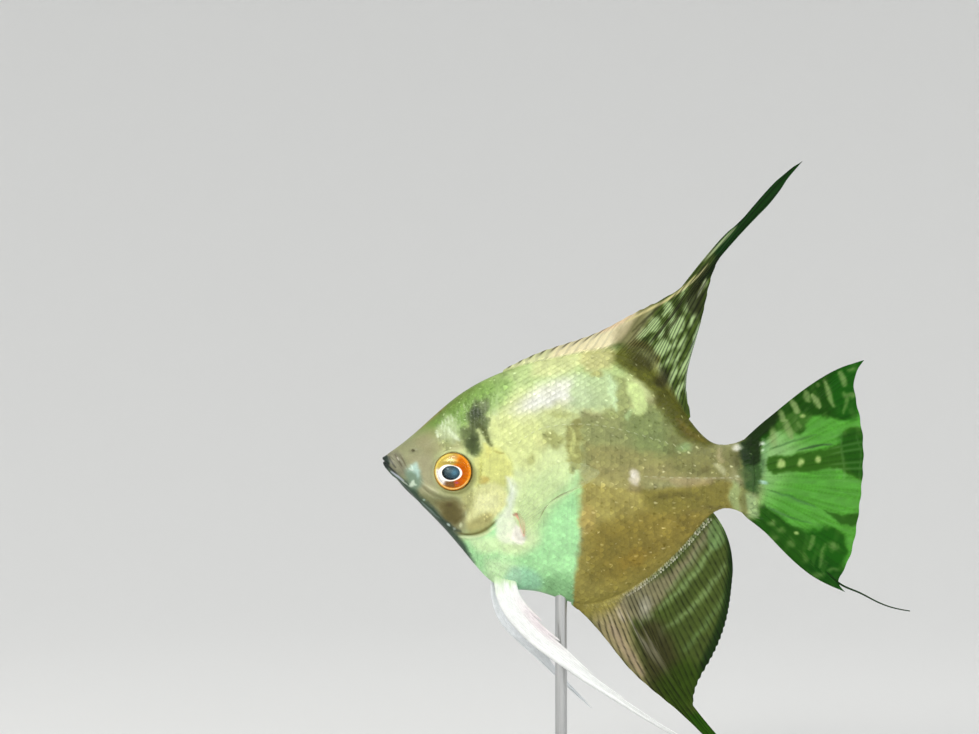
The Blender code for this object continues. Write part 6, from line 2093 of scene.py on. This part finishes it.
@dataclass
class Studio:
    """A pale round floor that curves up into its wall, soft lamps and the camera."""

    floor_radius: float = 0.5
    wall_bend: float = 1.3
    wall_height: float = 2.4
    camera_distance: float = 0.65
    view_width: float = 0.24475
    aim: tuple[float, float] = (26.6, 23.25)
    lit: tuple[float, float, float] = (0.0, 0.0, 0.09)

    def floor(self) -> None:
        """The floor: a profile, flat, then a quarter circle, then upright, turned about the vertical."""
        bend = np.linspace(0, np.pi / 2, 24)
        radius = np.concatenate([np.linspace(0.02, self.floor_radius, 12),
                                 self.floor_radius + self.wall_bend * np.sin(bend)[1:],
                                 [self.floor_radius + self.wall_bend]])
        height = np.concatenate([np.zeros(12), self.wall_bend * (1 - np.cos(bend))[1:], [self.wall_height]])
        around = 96
        turn = turns(around)
        ring = np.stack([np.cos(turn), np.sin(turn), 0 * turn], axis=-1)
        points = radius[:, None, None] * ring + height[:, None, None] * np.array((0, 0, 1))
        mesh = bpy.data.meshes.new("studio_floor")
        quads = grid_quads(len(radius), around, closed=True)
        mesh.from_pydata(points.reshape(-1, 3).tolist(), [], [*quads.tolist(), list(range(around))[::-1]])
        mesh.shade_smooth()
        mesh.materials.append(new_material("pale floor", Base_Color=(0.74, 0.74, 0.73, 1), Roughness=0.9)[0])
        new_object("studio_floor", mesh)

    def lamp(self, name: str, place: tuple[float, float, float], size: float, power: float,
             colour: Colour) -> None:
        """A square soft lamp that looks at the fish.

        Args:
            name: its name.
            place: its place in metres.
            size: its side in metres.
            power: its power in watts.
            colour: its colour.
        """
        data = bpy.data.lights.new(name, "AREA")
        data.size = size
        data.energy = power
        data.color = colour
        lamp = new_object(name, data)
        lamp.location = place
        lamp.rotation_euler = look(np.array(self.lit) - np.array(place))

    def camera(self) -> None:
        """The camera: level, square to the fish's side, with the field that shows the view's width there."""
        data = bpy.data.cameras.new("camera")
        data.sensor_width = 36.0
        data.lens = data.sensor_width * self.camera_distance / self.view_width
        camera = new_object("camera", data)
        centre = FISH.place(np.array((self.aim[0], 0.0, self.aim[1])))
        camera.location = (centre[0], -self.camera_distance, centre[2])
        camera.rotation_euler = (np.pi / 2, 0, 0)
        bpy.context.scene.camera = camera

    def build(self) -> None:
        """Makes the floor, lamps, sky and camera."""
        self.camera()
        self.floor()
        self.lamp("key lamp", (-0.45, -0.9, 0.8), 0.5, 7.2, (1.0, 0.98, 0.94))
        self.lamp("fill lamp", (0.75, -0.95, 0.25), 0.9, 4.3, (0.95, 0.98, 1.0))
        self.lamp("top lamp", (0.1, 0.1, 1.5), 0.9, 6.0, (1.0, 1.0, 1.0))
        world = bpy.data.worlds.new("sky")
        world.use_nodes = True
        sky = world.node_tree.nodes["Background"]
        sky.inputs["Color"].default_value = (0.96, 0.98, 1.0, 1)
        sky.inputs["Strength"].default_value = 0.72
        bpy.context.scene.world = world
        bpy.context.scene.view_settings.view_transform = "Standard"
        LOG.info("studio ready")


def look(direction: Array) -> tuple[float, float, float]:
    """Euler angles that turn a lamp's downward axis along a direction."""
    x, y, z = direction / np.linalg.norm(direction)
    return float(np.arccos(-z)), 0.0, float(np.arctan2(y, x) - np.pi / 2)


# ------------------------------------------------------------------ the model

@dataclass
class Angelfish:
    """The whole fish, built from its form and its finishes."""

    form: BodyForm = BodyForm()

    def build(self) -> None:
        """Makes skin, scales, lateral line, fins and eyes."""
        flecks = fleck_group()
        Skin(self.form, Finish("skin", flecks, coat=0.1, specular=0.2, sheen_metal=0.15).build()).build()
        scale = Finish("scales", flecks, roughness=0.36, coat=0.05, specular=0.16, sheen_metal=0.2,
                       fleck_amount=0.12).build()
        for word, side in SIDES.items():
            ScaleCoat(f"scales_{word}", self.form, side, 19.0, 92.0, (1.2, 1.36), on_trunk,
                      seed=10 + side).build(scale)
            ScaleCoat(f"head_scales_{word}", self.form, side, 12.0, 31.5, (0.9, 1.02), on_head,
                      lift=0.05, dome=0.05, thick=0.04, seed=20 + side).build(scale)
        LateralLine(self.form, scale).build()
        dark = Finish("dark fin sheet", flecks, roughness=0.5, coat=0.0, specular=0.1, clear=True,
                      fleck_amount=0.12)
        UnpairedFins(self.form, dark.build(), scale).build()
        clear = Finish("clear fin sheet", flecks, coat=0.0, specular=0.15, clear=True,
                       fleck_amount=0.08).build()
        for word in SIDES:
            PectoralFin(self.form, word, clear).build()
        white = Finish("white feeler", flecks, coat=0.1, fleck_amount=0.05).build()
        near = Path(((30.6, -25.6), (30.6, -28.6), (30.9, -32.0), (32.6, -36.2), (35.8, -40.3),
                     (39.4, -43.9), (43.4, -47.1), (49.1, -51.9), (57.4, -57.8), (65.7, -63.2),
                     (74.0, -68.0), (80.5, -71.4)))
        far = Path(((29.8, -25.8), (29.5, -28.8), (29.4, -33.6), (31.2, -39.6), (34.6, -44.0), (38.8, -48.2),
                    (43.2, -53.0), (47.8, -58.0), (52.6, -63.0)))
        near_width = ((0, 4.2), (0.08, 4.6), (0.3, 4.5), (0.39, 4.0), (0.49, 2.8), (0.72, 1.6), (1, 0.4))
        far_width = ((0, 3.6), (0.22, 3.8), (0.45, 3.0), (0.6, 2.4), (0.75, 1.6), (1, 0.4))
        PelvicFin("left", near, near_width, white, (250, 252, 250)).build()
        PelvicFin("right", far, far_width, white, (244, 248, 252)).build()
        iris = Finish("iris", flecks, roughness=0.5, coat=0.0, specular=0.05, fleck_size=2500.0,
                      fleck_amount=0.05, bump=0.05).build()
        cornea = CorneaFinish().build()
        for word in SIDES:
            Eye(word, iris, cornea).build()


def main() -> None:
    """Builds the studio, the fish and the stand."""
    logging.basicConfig(level=logging.INFO, format="%(message)s")
    Studio().build()
    Angelfish().build()
    Stand().dress()


if __name__ == "__main__":
    main()
